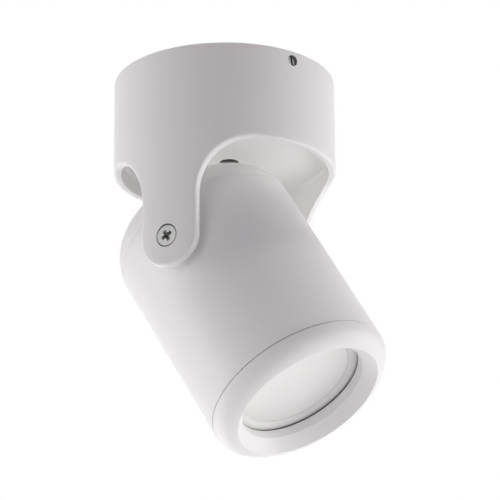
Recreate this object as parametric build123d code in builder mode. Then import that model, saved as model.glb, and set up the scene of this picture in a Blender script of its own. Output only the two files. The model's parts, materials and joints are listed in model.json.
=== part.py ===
from build123d import *
from math import cos, radians, sin

# A surface mounted ceiling spotlight: a tubular canopy whose wall runs down into two ears, and a
# round head that tilts on two screws between them. Millimetres, +Z up, ceiling face at Z = 0,
# canopy axis on Z, pivot axis along Y, and the head leans towards +X.

# ---- canopy -------------------------------------------------------------------------------------
canopy_wall = 2.7
head_side_gap = 3.8             # between the head and the wall on each side of it
rim_round = 0.4
cut_edge_round = 0.4
partition_depth = 29.0          # underside of the partition, below the ceiling
partition_thickness = 2.0
partition_blend = 3.5
lead_hole_radius = 4.5
skirt_depth = 34.3              # lower edge of the wall between the ears
pivot_drop = 70.4
ear_half_width = 11.0
ear_blend = 19.4
ear_pad_radius = 7.5
ear_pad_height = 1.0            # flat bearing pad, proud of the wall's inside

# ---- screws that hold the canopy to its plate -----------------------------------------------------
set_screw_azimuth = -23.2       # degrees from +X about Z
set_screw_depth = 4.1
set_screw_radius = 2.0
set_screw_length = 4.0
set_screw_recess = 0.4          # below the canopy's outside
set_screw_socket = 2.0          # across the flats
socket_depth = 2.0

# ---- ceiling plate --------------------------------------------------------------------------------
plate_thickness = 1.5
plate_gap = 0.7                 # between its round ends and the canopy wall
plate_half_width = 24.0
plate_hole_radius = 9.0
ceiling_screw_spacing = 50.0
ceiling_slot_length = 10.0
ceiling_slot_width = 4.5
tab_width = 12.0
tab_drop = 7.5                  # of the tab below the ceiling
tab_bend = 1.2                  # inside radius of its bend

# ---- terminal block -------------------------------------------------------------------------------
terminal_x = -20.0
terminal_pitch = 10.0
terminal_poles = 3
terminal_width = 16.0           # along the wires
terminal_height = 11.0
terminal_end = 5.0              # from the outer pole's centre to the end
boss_radius = 3.5
boss_height = 3.0
tower_radius = 3.2
tower_height = 2.6
tower_reach = 4.2               # from the block's middle to a tower's centre
wire_tube_radius = 2.4
wire_tube_bore = 1.6
wire_tube_length = 14.0
clamp_screw_radius = 1.3
clamp_head_radius = 1.9
clamp_head_height = 1.6
fixing_screw_radius = 1.5
fixing_head_radius = 2.7
fixing_head_height = 1.7
fixing_thread_depth = 4.0
screw_clearance = 0.1           # round a small screw's shank or head
slot_width = 0.6                # of a screwdriver slot
slot_depth = 0.8

# ---- earth terminal -------------------------------------------------------------------------------
earth_x = 20.0
earth_y = 14.0
earth_boss_radius = 4.5
earth_boss_height = 5.0
earth_screw_radius = 2.0
earth_head_radius = 4.0
earth_head_height = 2.4
earth_washer_radius = 4.4
earth_washer_thickness = 0.8
earth_thread_depth = 5.5

# ---- head -----------------------------------------------------------------------------------------
head_tilt = 31.0                # from straight down, towards +X
head_wall = 2.8
mouth_wall = 2.3                # round the thread in the open end
head_rear = 28.0                # from the pivot back to the closed end
head_rear_round = 14.0
thread_bore_length = 7.5        # the front ring screws in here
mouth_break = 0.25              # edge break on both sides of the seam

# ---- tilt pivot -----------------------------------------------------------------------------------
pivot_screw_radius = 2.0
pivot_screw_length = 16.0
pivot_head_radius = 4.0
pivot_head_rim = 0.2
pivot_head_sink = 0.25          # its face, below the outermost line of the canopy
pivot_clearance = 0.08
cross_width = 0.9
cross_span = 3.8
cross_depth = 1.6
cross_turn = 28.0
friction_washer_thickness = 1.0
pivot_boss_radius = 6.5
pivot_pad_height = 1.4          # flat pad inside the head, proud of its wall
spring_washer_radius = 3.8
spring_washer_thickness = 0.9
nut_across_flats = 7.0
nut_thickness = 3.2
thread_fit = 0.05

# ---- lampholder and its bracket ---------------------------------------------------------------------
bracket_thickness = 1.5
bracket_width = 14.0
bracket_bend = 2.0
bracket_opening_radius = 4.75
holder_face = 9.4               # where the lamp's cap seats, in front of the pivot
holder_height = 15.6
holder_across = 22.0
holder_length = 31.0
holder_corner = 6.0
holder_face_thickness = 3.2
holder_boss_radius = 10.0
holder_boss_height = 0.8
insulator_thickness = 0.8
holder_screw_spacing = 23.0
holder_screw_radius = 1.5
holder_screw_head_radius = 2.7
holder_screw_head_height = 1.8
holder_counterbore_depth = 4.5
pin_spacing = 10.0
pin_neck_radius = 1.6
pin_head_radius = 2.45
pin_neck_length = 4.0
pin_head_length = 3.0
pin_clearance = 0.3
lamp_twist = 22.0               # turn from locked to free
pocket_half_length = 6.0
pocket_web = 1.0                # half the ceramic wall between the two pockets
contact_thickness = 0.8
contact_width = 7.0
lead_hole_offset = 3.0
holder_lead_radius = 1.3

# ---- grommet in the head's closed end -------------------------------------------------------------
grommet_hole_radius = 6.0
grommet_flange_radius = 8.0
grommet_flange = 1.4
grommet_bore_radius = 3.5

# ---- lamp -----------------------------------------------------------------------------------------
lamp_radius = 25.0
lamp_length = 46.5              # from its seat on the lampholder to its front rim
lamp_rim_length = 6.9
lamp_rim_width = 4.4            # from its outside in to the lens
lamp_rim_round = 1.0
lamp_wall = 1.5
cap_length = 11.6
cap_radius = 12.5
cap_foot_radius = 9.5
cap_floor = 2.0
lens_thickness = 1.8
lens_recess = 1.2
lens_ledge = 1.6
lens_crown = 0.5
board_station = 40.0
board_thickness = 1.6
board_ledge = 2.0
led_count = 7
led_circle_radius = 10.0
led_size = 3.0
led_height = 0.8
driver_width = 16.0
driver_length = 26.0
driver_thickness = 1.0
capacitor_radius = 4.0
capacitor_height = 7.0
capacitor_station = 28.0

# ---- front ring and its gasket ----------------------------------------------------------------------
ring_length = 7.15              # from the seam to its foremost line
ring_nose_radius = 7.9
ring_flare = 3.7                # from its bore out to its foremost line
lip_round = 0.3
ring_cover = 1.6                # of the lamp's rim, which it holds
ring_bore_length = 2.8
ring_thread_length = 6.0
ring_thread_clearance = 0.1
ring_thread_wall = 2.5
lamp_side_gap = 3.6             # between the lamp and the ring's threaded neck
gasket_thickness = 1.3
gasket_setback = 0.5            # of its inside behind the ring's bore
gasket_clearance = 0.1

# ---- worked out from the sizes above ----------------------------------------------------------------
ring_bore_radius = lamp_radius - ring_cover
ring_lip_radius = ring_bore_radius + ring_flare
neck_bore = lamp_radius + lamp_side_gap
ring_thread_radius = neck_bore + ring_thread_wall
thread_bore_radius = ring_thread_radius + ring_thread_clearance
head_radius = thread_bore_radius + mouth_wall
canopy_bore = head_radius + head_side_gap
canopy_radius = canopy_bore + canopy_wall
partition_top = partition_depth - partition_thickness
ear_pad_face = canopy_bore - ear_pad_height
ear_bottom = pivot_drop + ear_half_width
boss_face = ear_pad_face - friction_washer_thickness
pivot_hole_radius = pivot_screw_radius + pivot_clearance
head_bore = head_radius - head_wall
bracket_face = head_bore - pivot_pad_height
holder_back = holder_face - holder_height
bracket_front = holder_back - insulator_thickness
bracket_back = bracket_front - bracket_thickness
pin_reach = pin_neck_length + pin_head_length
contact_face = holder_face - pin_reach
cap_top = holder_face + cap_length
lamp_rim_face = holder_face + lamp_length
head_mouth = lamp_rim_face + gasket_thickness
lens_radius = lamp_radius - lamp_rim_width
lens_front = lamp_rim_face - lens_recess
lens_back = lens_front - lens_thickness
gasket_radius = neck_bore - gasket_clearance

pivot = Vector(0, 0, -pivot_drop)
tilt = radians(head_tilt)
head_axis = Vector(sin(tilt), 0, -cos(tilt))
head_across = Vector(cos(tilt), 0, sin(tilt))
head_aside = head_axis.cross(head_across)
lamp_turn = Axis(pivot, head_axis)
head_section = Plane(origin=pivot, x_dir=head_across, z_dir=(0, 1, 0))
bracket_section = Plane(origin=pivot, x_dir=(0, 1, 0), z_dir=head_across * -1)


def station(distance, turn=0.0):
    """Plane square to the head's axis, facing forwards, at a distance in front of the pivot."""
    angle = radians(turn)
    return Plane(origin=pivot + head_axis * distance,
                 x_dir=head_across * cos(angle) + head_aside * sin(angle), z_dir=head_axis)


def pivot_plane(side, distance):
    """Plane square to the pivot axis, facing outwards, on the side -1 (near) or +1 (far)."""
    return Plane(origin=(0, side * distance, -pivot_drop), x_dir=(1, 0, 0), z_dir=(0, side, 0))


def set_screw_plane(turn, distance):
    """Plane square to a canopy set screw, facing outwards; turn is 0 or 180 degrees."""
    angle = radians(set_screw_azimuth + turn)
    outward = Vector(cos(angle), sin(angle), 0)
    return Plane(origin=outward * distance + Vector(0, 0, -set_screw_depth),
                 x_dir=(-sin(angle), cos(angle), 0), z_dir=outward)


def pole_offsets(count, pitch):
    """Centres of evenly pitched poles, about zero."""
    return [(i - (count - 1) / 2) * pitch for i in range(count)]


def finish(part, name):
    """Label a piece and write it under its own name."""
    part.label = name
    export_step(part, f"parts/{name}.step")


# ---- canopy: tube, partition, two ears cut from the wall ----------------------------------------------
with BuildPart() as canopy:
    with BuildSketch(Plane.XZ) as canopy_profile:
        with Locations(((canopy_bore + canopy_radius) / 2, -ear_bottom / 2)):
            Rectangle(canopy_wall, ear_bottom)
        with Locations((canopy_bore / 2, -(partition_depth + partition_top) / 2)):
            Rectangle(canopy_bore, partition_thickness)
        inner_corners = canopy_profile.vertices().filter_by(
            lambda v: abs(v.X - canopy_bore) < 0.01 and -partition_depth - 0.1 < v.Y < -1)
        fillet(inner_corners.sort_by(Axis.Y)[0], partition_blend)
    revolve(axis=Axis.Z)
    # the wall is cut straight through along Y, which leaves the two ears
    with BuildSketch(Plane.XZ) as gap_profile:
        with Locations((0, -(skirt_depth + ear_bottom) / 2 - 1)):
            Rectangle(2 * canopy_radius + 4, ear_bottom - skirt_depth + 2)
        with Locations((0, -(skirt_depth + pivot_drop) / 2)):
            Rectangle(2 * ear_half_width, pivot_drop - skirt_depth, mode=Mode.SUBTRACT)
        with Locations((0, -pivot_drop)):
            Circle(ear_half_width, mode=Mode.SUBTRACT)
        ear_roots = gap_profile.vertices().filter_by(
            lambda v: abs(v.Y + skirt_depth) < 0.01 and abs(abs(v.X) - ear_half_width) < 0.01)
        fillet(ear_roots, ear_blend)
    extrude(amount=canopy_radius + 2, both=True, mode=Mode.SUBTRACT)
    # both edges of the cut face are rounded; the short lines across the wall are left
    cut_edges = canopy.edges().filter_by(
        lambda e: e.center().Z < -skirt_depth + 0.01 and e.length > 1.5 * canopy_wall)
    fillet(cut_edges, cut_edge_round)
    rim = canopy.edges().filter_by(GeomType.CIRCLE).filter_by(
        lambda e: abs(e.arc_center.Z) < 0.01 and abs(e.radius - canopy_radius) < 0.01)
    fillet(rim, rim_round)
    # flat pads on the inside of the ears, and countersunk holes for the pivot screws
    for side in (-1, 1):
        with BuildSketch(pivot_plane(side, ear_pad_face)):
            Circle(ear_pad_radius)
        extrude(amount=ear_pad_height + canopy_wall / 2)
        with Locations(pivot_plane(side, canopy_radius)):
            CounterSinkHole(
                radius=pivot_hole_radius,
                counter_sink_radius=pivot_head_radius + pivot_head_sink + pivot_head_rim
                + pivot_clearance,
                depth=canopy_radius - ear_pad_face + 1,
                counter_sink_angle=90)
        with Locations(set_screw_plane(90 + 90 * side, canopy_radius)):
            Hole(set_screw_radius + thread_fit, depth=canopy_wall + 1)
    # hole for the flexible lead, and bosses on the partition for the terminals
    with Locations((0, 0, -partition_top)):
        Hole(lead_hole_radius, depth=partition_thickness + 1)
    with BuildSketch(Plane.XY.offset(-partition_top)):
        with Locations(*[(terminal_x, y) for y in pole_offsets(terminal_poles - 1, terminal_pitch)]):
            Circle(boss_radius)
    extrude(amount=boss_height)
    with BuildSketch(Plane.XY.offset(-partition_top)):
        with Locations((earth_x, earth_y)):
            Circle(earth_boss_radius)
    extrude(amount=earth_boss_height)
    with Locations(*[(terminal_x, y, boss_height - partition_top)
                     for y in pole_offsets(terminal_poles - 1, terminal_pitch)]):
        Hole(fixing_screw_radius + thread_fit, depth=fixing_thread_depth)
    with Locations((earth_x, earth_y, earth_boss_height - partition_top)):
        Hole(earth_screw_radius + thread_fit, depth=earth_thread_depth)
finish(canopy.part, "canopy")

# ---- ceiling plate: stamped strap with round ends and two bent tabs ------------------------------------
plate_end_radius = canopy_bore - plate_gap
tab_face = canopy_radius - set_screw_recess - set_screw_length
with BuildPart() as ceiling_plate:
    with BuildSketch():
        Circle(plate_end_radius)
        Rectangle(2 * plate_end_radius, 2 * plate_half_width, mode=Mode.INTERSECT)
        Circle(plate_hole_radius, mode=Mode.SUBTRACT)
        with Locations((-ceiling_screw_spacing / 2, 0), (ceiling_screw_spacing / 2, 0)):
            SlotOverall(ceiling_slot_length, ceiling_slot_width, mode=Mode.SUBTRACT)
    extrude(amount=-plate_thickness)
    for turn in (0, 180):
        rim_plane = set_screw_plane(turn, tab_face)
        # the rim is cut flat, and the tab hangs down inside that flat
        with BuildSketch(rim_plane):
            Rectangle(tab_width, 4 * set_screw_depth)
        extrude(amount=canopy_bore - tab_face, mode=Mode.SUBTRACT)
        with BuildSketch(rim_plane):
            with Locations((0, set_screw_depth - tab_drop / 2)):
                Rectangle(tab_width, tab_drop)
        extrude(amount=-plate_thickness)
        with Locations(rim_plane):
            Hole(set_screw_radius / 2, depth=plate_thickness / 2)
    bends = ceiling_plate.edges().filter_by(
        lambda e: e.center().Z > -plate_thickness - 0.01 and abs(e.length - tab_width) < 0.01)
    fillet(bends, tab_bend)
finish(ceiling_plate.part, "ceiling_plate")

with BuildPart() as canopy_set_screws:
    for turn in (0, 180):
        outer_end = set_screw_plane(turn, tab_face + set_screw_length)
        with BuildSketch(outer_end):
            Circle(set_screw_radius)
        extrude(amount=-set_screw_length)
        with BuildSketch(outer_end):
            RegularPolygon(set_screw_socket / 2, 6, major_radius=False)
        extrude(amount=-socket_depth, mode=Mode.SUBTRACT)
finish(canopy_set_screws.part, "canopy_set_screws")

# ---- terminal block on its two bosses ------------------------------------------------------------------
pole_y = pole_offsets(terminal_poles, terminal_pitch)
fixing_y = pole_offsets(terminal_poles - 1, terminal_pitch)
block_bottom = boss_height - partition_top
block_top = block_bottom + terminal_height
tube_axis = block_bottom + terminal_height / 2
block_length = (terminal_poles - 1) * terminal_pitch + 2 * terminal_end
tower_x = (terminal_x - tower_reach, terminal_x + tower_reach)
clamp_spots = [(x, y) for x in tower_x for y in pole_y]
fixing_spots = [(terminal_x, y) for y in fixing_y]
with BuildPart() as terminal_block:
    with BuildSketch(Plane.XY.offset(block_bottom)):
        with Locations((terminal_x, 0)):
            RectangleRounded(terminal_width, block_length, 1.0)
    extrude(amount=terminal_height)
    with BuildSketch(Plane.XY.offset(block_top)):
        with Locations(*clamp_spots):
            Circle(tower_radius)
    extrude(amount=tower_height)
    with BuildSketch(Plane.XY.offset(block_top + tower_height)):
        with Locations(*clamp_spots):
            Circle(clamp_head_radius + screw_clearance)
    extrude(amount=-(block_top + tower_height - tube_axis), mode=Mode.SUBTRACT)
    with BuildSketch(Plane.YZ.offset(terminal_x)):
        with Locations(*[(y, tube_axis) for y in pole_y]):
            Circle(wire_tube_radius + thread_fit)
    extrude(amount=terminal_width / 2, both=True, mode=Mode.SUBTRACT)
    with Locations(*[(x, y, block_top) for x, y in fixing_spots]):
        CounterBoreHole(
            radius=fixing_screw_radius + screw_clearance,
            counter_bore_radius=fixing_head_radius + screw_clearance,
            counter_bore_depth=fixing_head_height,
            depth=terminal_height)
finish(terminal_block.part, "terminal_block")

with BuildPart() as terminal_tubes:
    with BuildSketch(Plane.YZ.offset(terminal_x)):
        with Locations(*[(y, tube_axis) for y in pole_y]):
            Circle(wire_tube_radius)
            Circle(wire_tube_bore, mode=Mode.SUBTRACT)
    extrude(amount=wire_tube_length / 2, both=True)
    with BuildSketch(Plane.XY.offset(tube_axis)):
        with Locations(*clamp_spots):
            Circle(clamp_screw_radius + thread_fit)
    extrude(amount=wire_tube_radius, mode=Mode.SUBTRACT)
finish(terminal_tubes.part, "terminal_tubes")


def slotted_screws(spots, head_base, head_radius, head_height, shank_radius, reach):
    """Upright slotted screws: heads on head_base, shanks reaching down below it."""
    with BuildPart() as screws:
        with BuildSketch(Plane.XY.offset(head_base)):
            with Locations(*spots):
                Circle(head_radius)
        extrude(amount=head_height)
        with BuildSketch(Plane.XY.offset(head_base + head_height)):
            with Locations(*spots):
                Rectangle(2 * head_radius, slot_width)
        extrude(amount=-slot_depth, mode=Mode.SUBTRACT)
        with BuildSketch(Plane.XY.offset(head_base)):
            with Locations(*spots):
                Circle(shank_radius)
        extrude(amount=-reach)
    return screws.part


clamp_base = tube_axis + wire_tube_radius
finish(slotted_screws(clamp_spots, clamp_base, clamp_head_radius, clamp_head_height,
                      clamp_screw_radius, wire_tube_radius), "terminal_screws")
fixing_base = block_top - fixing_head_height
finish(slotted_screws(fixing_spots, fixing_base, fixing_head_radius, fixing_head_height,
                      fixing_screw_radius, fixing_base - block_bottom + fixing_thread_depth),
       "terminal_fixing_screws")

# ---- earth terminal --------------------------------------------------------------------------------
earth_spot = [(earth_x, earth_y)]
earth_boss_top = earth_boss_height - partition_top
with BuildPart() as earth_washer:
    with BuildSketch(Plane.XY.offset(earth_boss_top)):
        with Locations(*earth_spot):
            Circle(earth_washer_radius)
            Circle(earth_screw_radius + screw_clearance, mode=Mode.SUBTRACT)
    extrude(amount=earth_washer_thickness)
finish(earth_washer.part, "earth_washer")
finish(slotted_screws(earth_spot, earth_boss_top + earth_washer_thickness, earth_head_radius,
                      earth_head_height, earth_screw_radius,
                      earth_washer_thickness + earth_thread_depth), "earth_screw")

# ---- head: round-ended tube with bearing bosses for the pivot ----------------------------------------
with BuildPart() as head_housing:
    with BuildSketch(head_section) as head_profile:
        with BuildLine():
            outer_corner = (head_radius, -head_rear)
            FilletPolyline((0, -head_rear), outer_corner, (head_radius, head_mouth),
                           radius=head_rear_round)
            Polyline((head_radius, head_mouth), (0, head_mouth), (0, -head_rear))
        make_face()
    revolve(axis=lamp_turn)
    chamfer(head_housing.edges().sort_by(lamp_turn)[-1], mouth_break)
    with BuildSketch(head_section):
        with BuildLine():
            inner_rear = -head_rear + head_wall
            FilletPolyline((0, inner_rear), (head_bore, inner_rear), (head_bore, head_mouth),
                           radius=head_rear_round - head_wall)
            Polyline((head_bore, head_mouth), (0, head_mouth), (0, inner_rear))
        make_face()
    revolve(axis=lamp_turn, mode=Mode.SUBTRACT)
    with BuildSketch(station(head_mouth)):
        Circle(thread_bore_radius)
    extrude(amount=-thread_bore_length, mode=Mode.SUBTRACT)
    with BuildSketch(station(-head_rear)):
        Circle(grommet_hole_radius)
    extrude(amount=head_wall, mode=Mode.SUBTRACT)
    for side in (-1, 1):
        with BuildSketch(pivot_plane(side, bracket_face)):
            Circle(pivot_boss_radius)
        extrude(amount=boss_face - bracket_face)
        with Locations(pivot_plane(side, boss_face)):
            Hole(pivot_hole_radius, depth=boss_face - bracket_face)
finish(head_housing.part, "head_housing")

with BuildPart() as rear_grommet:
    with BuildSketch(head_section):
        with Locations(((grommet_bore_radius + grommet_hole_radius) / 2, -head_rear + head_wall / 2)):
            Rectangle(grommet_hole_radius - grommet_bore_radius, head_wall + 2 * grommet_flange)
        for face in (-head_rear - grommet_flange / 2, -head_rear + head_wall + grommet_flange / 2):
            with Locations(((grommet_bore_radius + grommet_flange_radius) / 2, face)):
                Rectangle(grommet_flange_radius - grommet_bore_radius, grommet_flange)
    revolve(axis=lamp_turn)
    flange_rims = rear_grommet.edges().filter_by(
        lambda e: e.geom_type == GeomType.CIRCLE and abs(e.radius - grommet_flange_radius) < 0.01)
    fillet(flange_rims, grommet_flange / 3)
finish(rear_grommet.part, "rear_grommet")

# ---- tilt pivot: countersunk screws, friction washers, spring washers and nuts -----------------------
pivot_head_face = canopy_radius - pivot_head_sink
with BuildPart() as pivot_screws:
    for side in (-1, 1):
        face_plane = pivot_plane(side, pivot_head_face)
        with BuildSketch(face_plane):
            Circle(pivot_screw_radius)
        extrude(amount=-pivot_screw_length)
        with BuildSketch(face_plane):
            Circle(pivot_head_radius)
        extrude(amount=-pivot_head_rim)
        with BuildSketch(pivot_plane(side, pivot_head_face - pivot_head_rim)):
            Circle(pivot_head_radius)
        extrude(amount=-(pivot_head_radius - pivot_screw_radius), taper=45)
        with BuildSketch(face_plane):
            for turn in (cross_turn, cross_turn + 90):
                SlotOverall(cross_span, cross_width, rotation=-side * turn)
        extrude(amount=-cross_depth, taper=12, mode=Mode.SUBTRACT)
finish(pivot_screws.part, "pivot_screws")


def pivot_rings(face, thickness, radius, bore):
    """A flat ring on each side of the pivot, its outer face at this distance from the middle."""
    with BuildPart() as rings:
        for side in (-1, 1):
            with BuildSketch(pivot_plane(side, face)):
                Circle(radius)
                Circle(bore, mode=Mode.SUBTRACT)
            extrude(amount=-thickness)
    return rings.part


finish(pivot_rings(ear_pad_face, friction_washer_thickness, pivot_boss_radius, pivot_hole_radius),
       "friction_washers")
leg_face = bracket_face - bracket_thickness
finish(pivot_rings(leg_face, spring_washer_thickness, spring_washer_radius, pivot_hole_radius),
       "spring_washers")
nut_face = leg_face - spring_washer_thickness
with BuildPart() as pivot_nuts:
    for side in (-1, 1):
        with BuildSketch(pivot_plane(side, nut_face)):
            RegularPolygon(nut_across_flats / 2, 6, major_radius=False)
            Circle(pivot_screw_radius + thread_fit, mode=Mode.SUBTRACT)
        extrude(amount=-nut_thickness)
finish(pivot_nuts.part, "pivot_nuts")

# ---- bracket: steel strap bent into a U across the head ----------------------------------------------
holder_screw_y = (-holder_screw_spacing / 2, holder_screw_spacing / 2)
with BuildPart() as lampholder_bracket:
    with BuildSketch(bracket_section):
        with BuildLine():
            leg_end = bracket_width / 2
            outside = FilletPolyline((-bracket_face, leg_end), (-bracket_face, bracket_back),
                                     (bracket_face, bracket_back), (bracket_face, leg_end),
                                     radius=bracket_bend + bracket_thickness)
            inside = FilletPolyline((-leg_face, leg_end), (-leg_face, bracket_front),
                                    (leg_face, bracket_front), (leg_face, leg_end),
                                    radius=bracket_bend)
            Line(outside @ 0, inside @ 0)
            Line(outside @ 1, inside @ 1)
        make_face()
    extrude(amount=bracket_width / 2, both=True)
    leg_corners = lampholder_bracket.edges().filter_by(Axis.Y).filter_by(
        lambda e: (e.center() - pivot).dot(head_axis) > leg_end - 0.1)
    fillet(leg_corners, leg_end - 0.1)
    for side in (-1, 1):
        with Locations(pivot_plane(side, bracket_face)):
            Hole(pivot_hole_radius, depth=bracket_thickness)
    with BuildSketch(station(bracket_front)):
        Circle(bracket_opening_radius)
        with Locations(*[(0, y) for y in holder_screw_y]):
            Circle(holder_screw_radius + thread_fit)
    extrude(amount=-bracket_thickness, mode=Mode.SUBTRACT)
finish(lampholder_bracket.part, "lampholder_bracket")

# ---- ceramic lampholder with two bayonet slots --------------------------------------------------------
pin_circle = pin_spacing / 2
pocket_outer = pin_circle + pin_head_radius + 2 * contact_thickness
pocket_middle = (pocket_web + pocket_outer) / 2
with BuildPart() as lampholder:
    with BuildSketch(station(holder_back)):
        RectangleRounded(holder_across, holder_length, holder_corner)
    extrude(amount=holder_height - holder_boss_height)
    with BuildSketch(station(holder_face - holder_boss_height)):
        Circle(holder_boss_radius)
    extrude(amount=holder_boss_height)
    with BuildSketch(station(holder_back)):
        with Locations((-pocket_middle, 0), (pocket_middle, 0)):
            Rectangle(pocket_outer - pocket_web, 2 * pocket_half_length)
    extrude(amount=holder_height - holder_face_thickness, mode=Mode.SUBTRACT)
    for turn in (0, 180):
        with BuildSketch(station(holder_face - holder_face_thickness, turn)):
            with BuildLine():
                pin_path = CenterArc((0, 0), pin_circle, 0, lamp_twist)
            SlotArc(pin_path, 2 * (pin_neck_radius + pin_clearance))
            with Locations(pin_path @ 1):
                Circle(pin_head_radius + pin_clearance)
        extrude(amount=holder_face_thickness, mode=Mode.SUBTRACT)
    with BuildSketch(station(holder_back)):
        with Locations(*[(0, y) for y in holder_screw_y]):
            Circle(holder_screw_radius + screw_clearance)
    extrude(amount=holder_height, mode=Mode.SUBTRACT)
    with BuildSketch(station(holder_face)):
        with Locations(*[(0, y) for y in holder_screw_y]):
            Circle(holder_screw_head_radius + pin_clearance)
    extrude(amount=-holder_counterbore_depth, mode=Mode.SUBTRACT)
finish(lampholder.part, "lampholder")

with BuildPart() as lampholder_insulator:
    with BuildSketch(station(bracket_front)):
        RectangleRounded(holder_across, holder_length, holder_corner)
        with Locations((-lead_hole_offset, 0), (lead_hole_offset, 0)):
            Circle(holder_lead_radius, mode=Mode.SUBTRACT)
        with Locations(*[(0, y) for y in holder_screw_y]):
            Circle(holder_screw_radius + screw_clearance, mode=Mode.SUBTRACT)
    extrude(amount=insulator_thickness)
finish(lampholder_insulator.part, "lampholder_insulator")

# each contact is a strip under a pin's end, with a leg down the outer wall of its pocket
leg_outer = pocket_outer - thread_fit
with BuildPart() as lampholder_contacts:
    for turn in (0, 180):
        with BuildSketch(station(contact_face - contact_thickness, turn)):
            with Locations(((pin_circle - pin_head_radius + leg_outer) / 2, contact_width / 8)):
                Rectangle(leg_outer - pin_circle + pin_head_radius, contact_width)
        extrude(amount=contact_thickness)
        with BuildSketch(station(holder_back, turn)):
            with Locations((leg_outer - contact_thickness / 2, contact_width / 8)):
                Rectangle(contact_thickness, contact_width / 2)
        extrude(amount=contact_face - holder_back)
finish(lampholder_contacts.part, "lampholder_contacts")

holder_screw_seat = holder_face - holder_counterbore_depth
with BuildPart() as lampholder_screws:
    for y in holder_screw_y:
        with BuildSketch(station(holder_screw_seat)):
            with Locations((0, y)):
                Circle(holder_screw_head_radius)
        extrude(amount=holder_screw_head_height)
        with BuildSketch(station(holder_screw_seat)):
            with Locations((0, y)):
                Circle(holder_screw_radius)
        extrude(amount=-(holder_screw_seat - bracket_back + thread_fit))
        with BuildSketch(station(holder_screw_seat + holder_screw_head_height)):
            with Locations((0, y)):
                Rectangle(2 * holder_screw_head_radius, slot_width)
        extrude(amount=-slot_depth, mode=Mode.SUBTRACT)
finish(lampholder_screws.part, "lampholder_screws")

# ---- lamp: twist-lock cap, pins, reflector body, diffuser lens, boards -----------------------------------
with BuildPart() as lamp_cap:
    with BuildSketch(head_section):
        with BuildLine():
            Polyline((0, holder_face), (cap_foot_radius, holder_face),
                     (cap_radius, holder_face + cap_floor), (cap_radius, cap_top),
                     (cap_radius - lamp_wall, cap_top),
                     (cap_radius - lamp_wall, holder_face + cap_floor),
                     (0, holder_face + cap_floor), close=True)
        make_face()
    revolve(axis=lamp_turn)
    with BuildSketch(station(holder_face)):
        with Locations((-pin_circle, 0), (pin_circle, 0)):
            Circle(pin_neck_radius)
    extrude(amount=cap_floor, mode=Mode.SUBTRACT)
finish(lamp_cap.part, "lamp_cap")

with BuildPart() as lamp_pins:
    with BuildSketch(station(contact_face)):
        with Locations((-pin_circle, 0), (pin_circle, 0)):
            Circle(pin_head_radius)
    extrude(amount=pin_head_length)
    with BuildSketch(station(contact_face + pin_head_length)):
        with Locations((-pin_circle, 0), (pin_circle, 0)):
            Circle(pin_neck_radius)
    extrude(amount=pin_neck_length + cap_floor)
finish(lamp_pins.part, "lamp_pins")

board_radius = lamp_radius - lamp_wall - lamp_wall - board_ledge
lamp_rim_back = lamp_rim_face - lamp_rim_length
with BuildPart() as lamp_housing:
    with BuildSketch(head_section):
        with BuildLine():
            rim_start = (lamp_radius, lamp_rim_face - lamp_rim_round)
            rim_end = (lamp_radius - lamp_rim_round, lamp_rim_face)
            flare = Spline((cap_radius, cap_top), (lamp_radius, lamp_rim_back),
                           tangents=((0.35, 1), (0.12, 1)))
            Line(flare @ 1, rim_start)
            RadiusArc(rim_start, rim_end, -lamp_rim_round)
            Polyline(rim_end, (lens_radius + lamp_rim_round, lamp_rim_face), (lens_radius, lens_front),
                     (lens_radius, lens_back), (lens_radius - lens_ledge, lens_back),
                     (board_radius, board_station + board_thickness),
                     (board_radius, board_station), (board_radius - board_ledge, board_station),
                     (cap_radius - lamp_wall, cap_top), (cap_radius, cap_top))
        make_face()
    revolve(axis=lamp_turn)
finish(lamp_housing.part, "lamp_housing")

with BuildPart() as lamp_lens:
    with BuildSketch(head_section):
        with BuildLine():
            crown = ThreePointArc((0, lens_front + lens_crown),
                                  (lens_radius / 2, lens_front + lens_crown * 0.75),
                                  (lens_radius, lens_front))
            Polyline(crown @ 1, (lens_radius, lens_back), (0, lens_back), crown @ 0)
        make_face()
    revolve(axis=lamp_turn)
finish(lamp_lens.part, "lamp_lens")

with BuildPart() as led_board:
    with BuildSketch(station(board_station)):
        Circle(board_radius)
    extrude(amount=board_thickness)
finish(led_board.part, "led_board")

with BuildPart() as led_chips:
    with BuildSketch(station(board_station + board_thickness)):
        with PolarLocations(led_circle_radius, led_count):
            Rectangle(led_size, led_size)
    extrude(amount=led_height)
finish(led_chips.part, "led_chips")

driver_foot = holder_face + cap_floor
with BuildPart() as driver_board:
    with BuildSketch(station(driver_foot)):
        Rectangle(driver_thickness, driver_width)
    extrude(amount=driver_length)
finish(driver_board.part, "driver_board")

with BuildPart() as driver_capacitor:
    board_origin = pivot + head_axis * capacitor_station + head_across * (driver_thickness / 2)
    with BuildSketch(Plane(origin=board_origin, x_dir=(0, 1, 0), z_dir=head_across)):
        Circle(capacitor_radius)
    extrude(amount=capacitor_height)
finish(driver_capacitor.part, "driver_capacitor")

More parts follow.
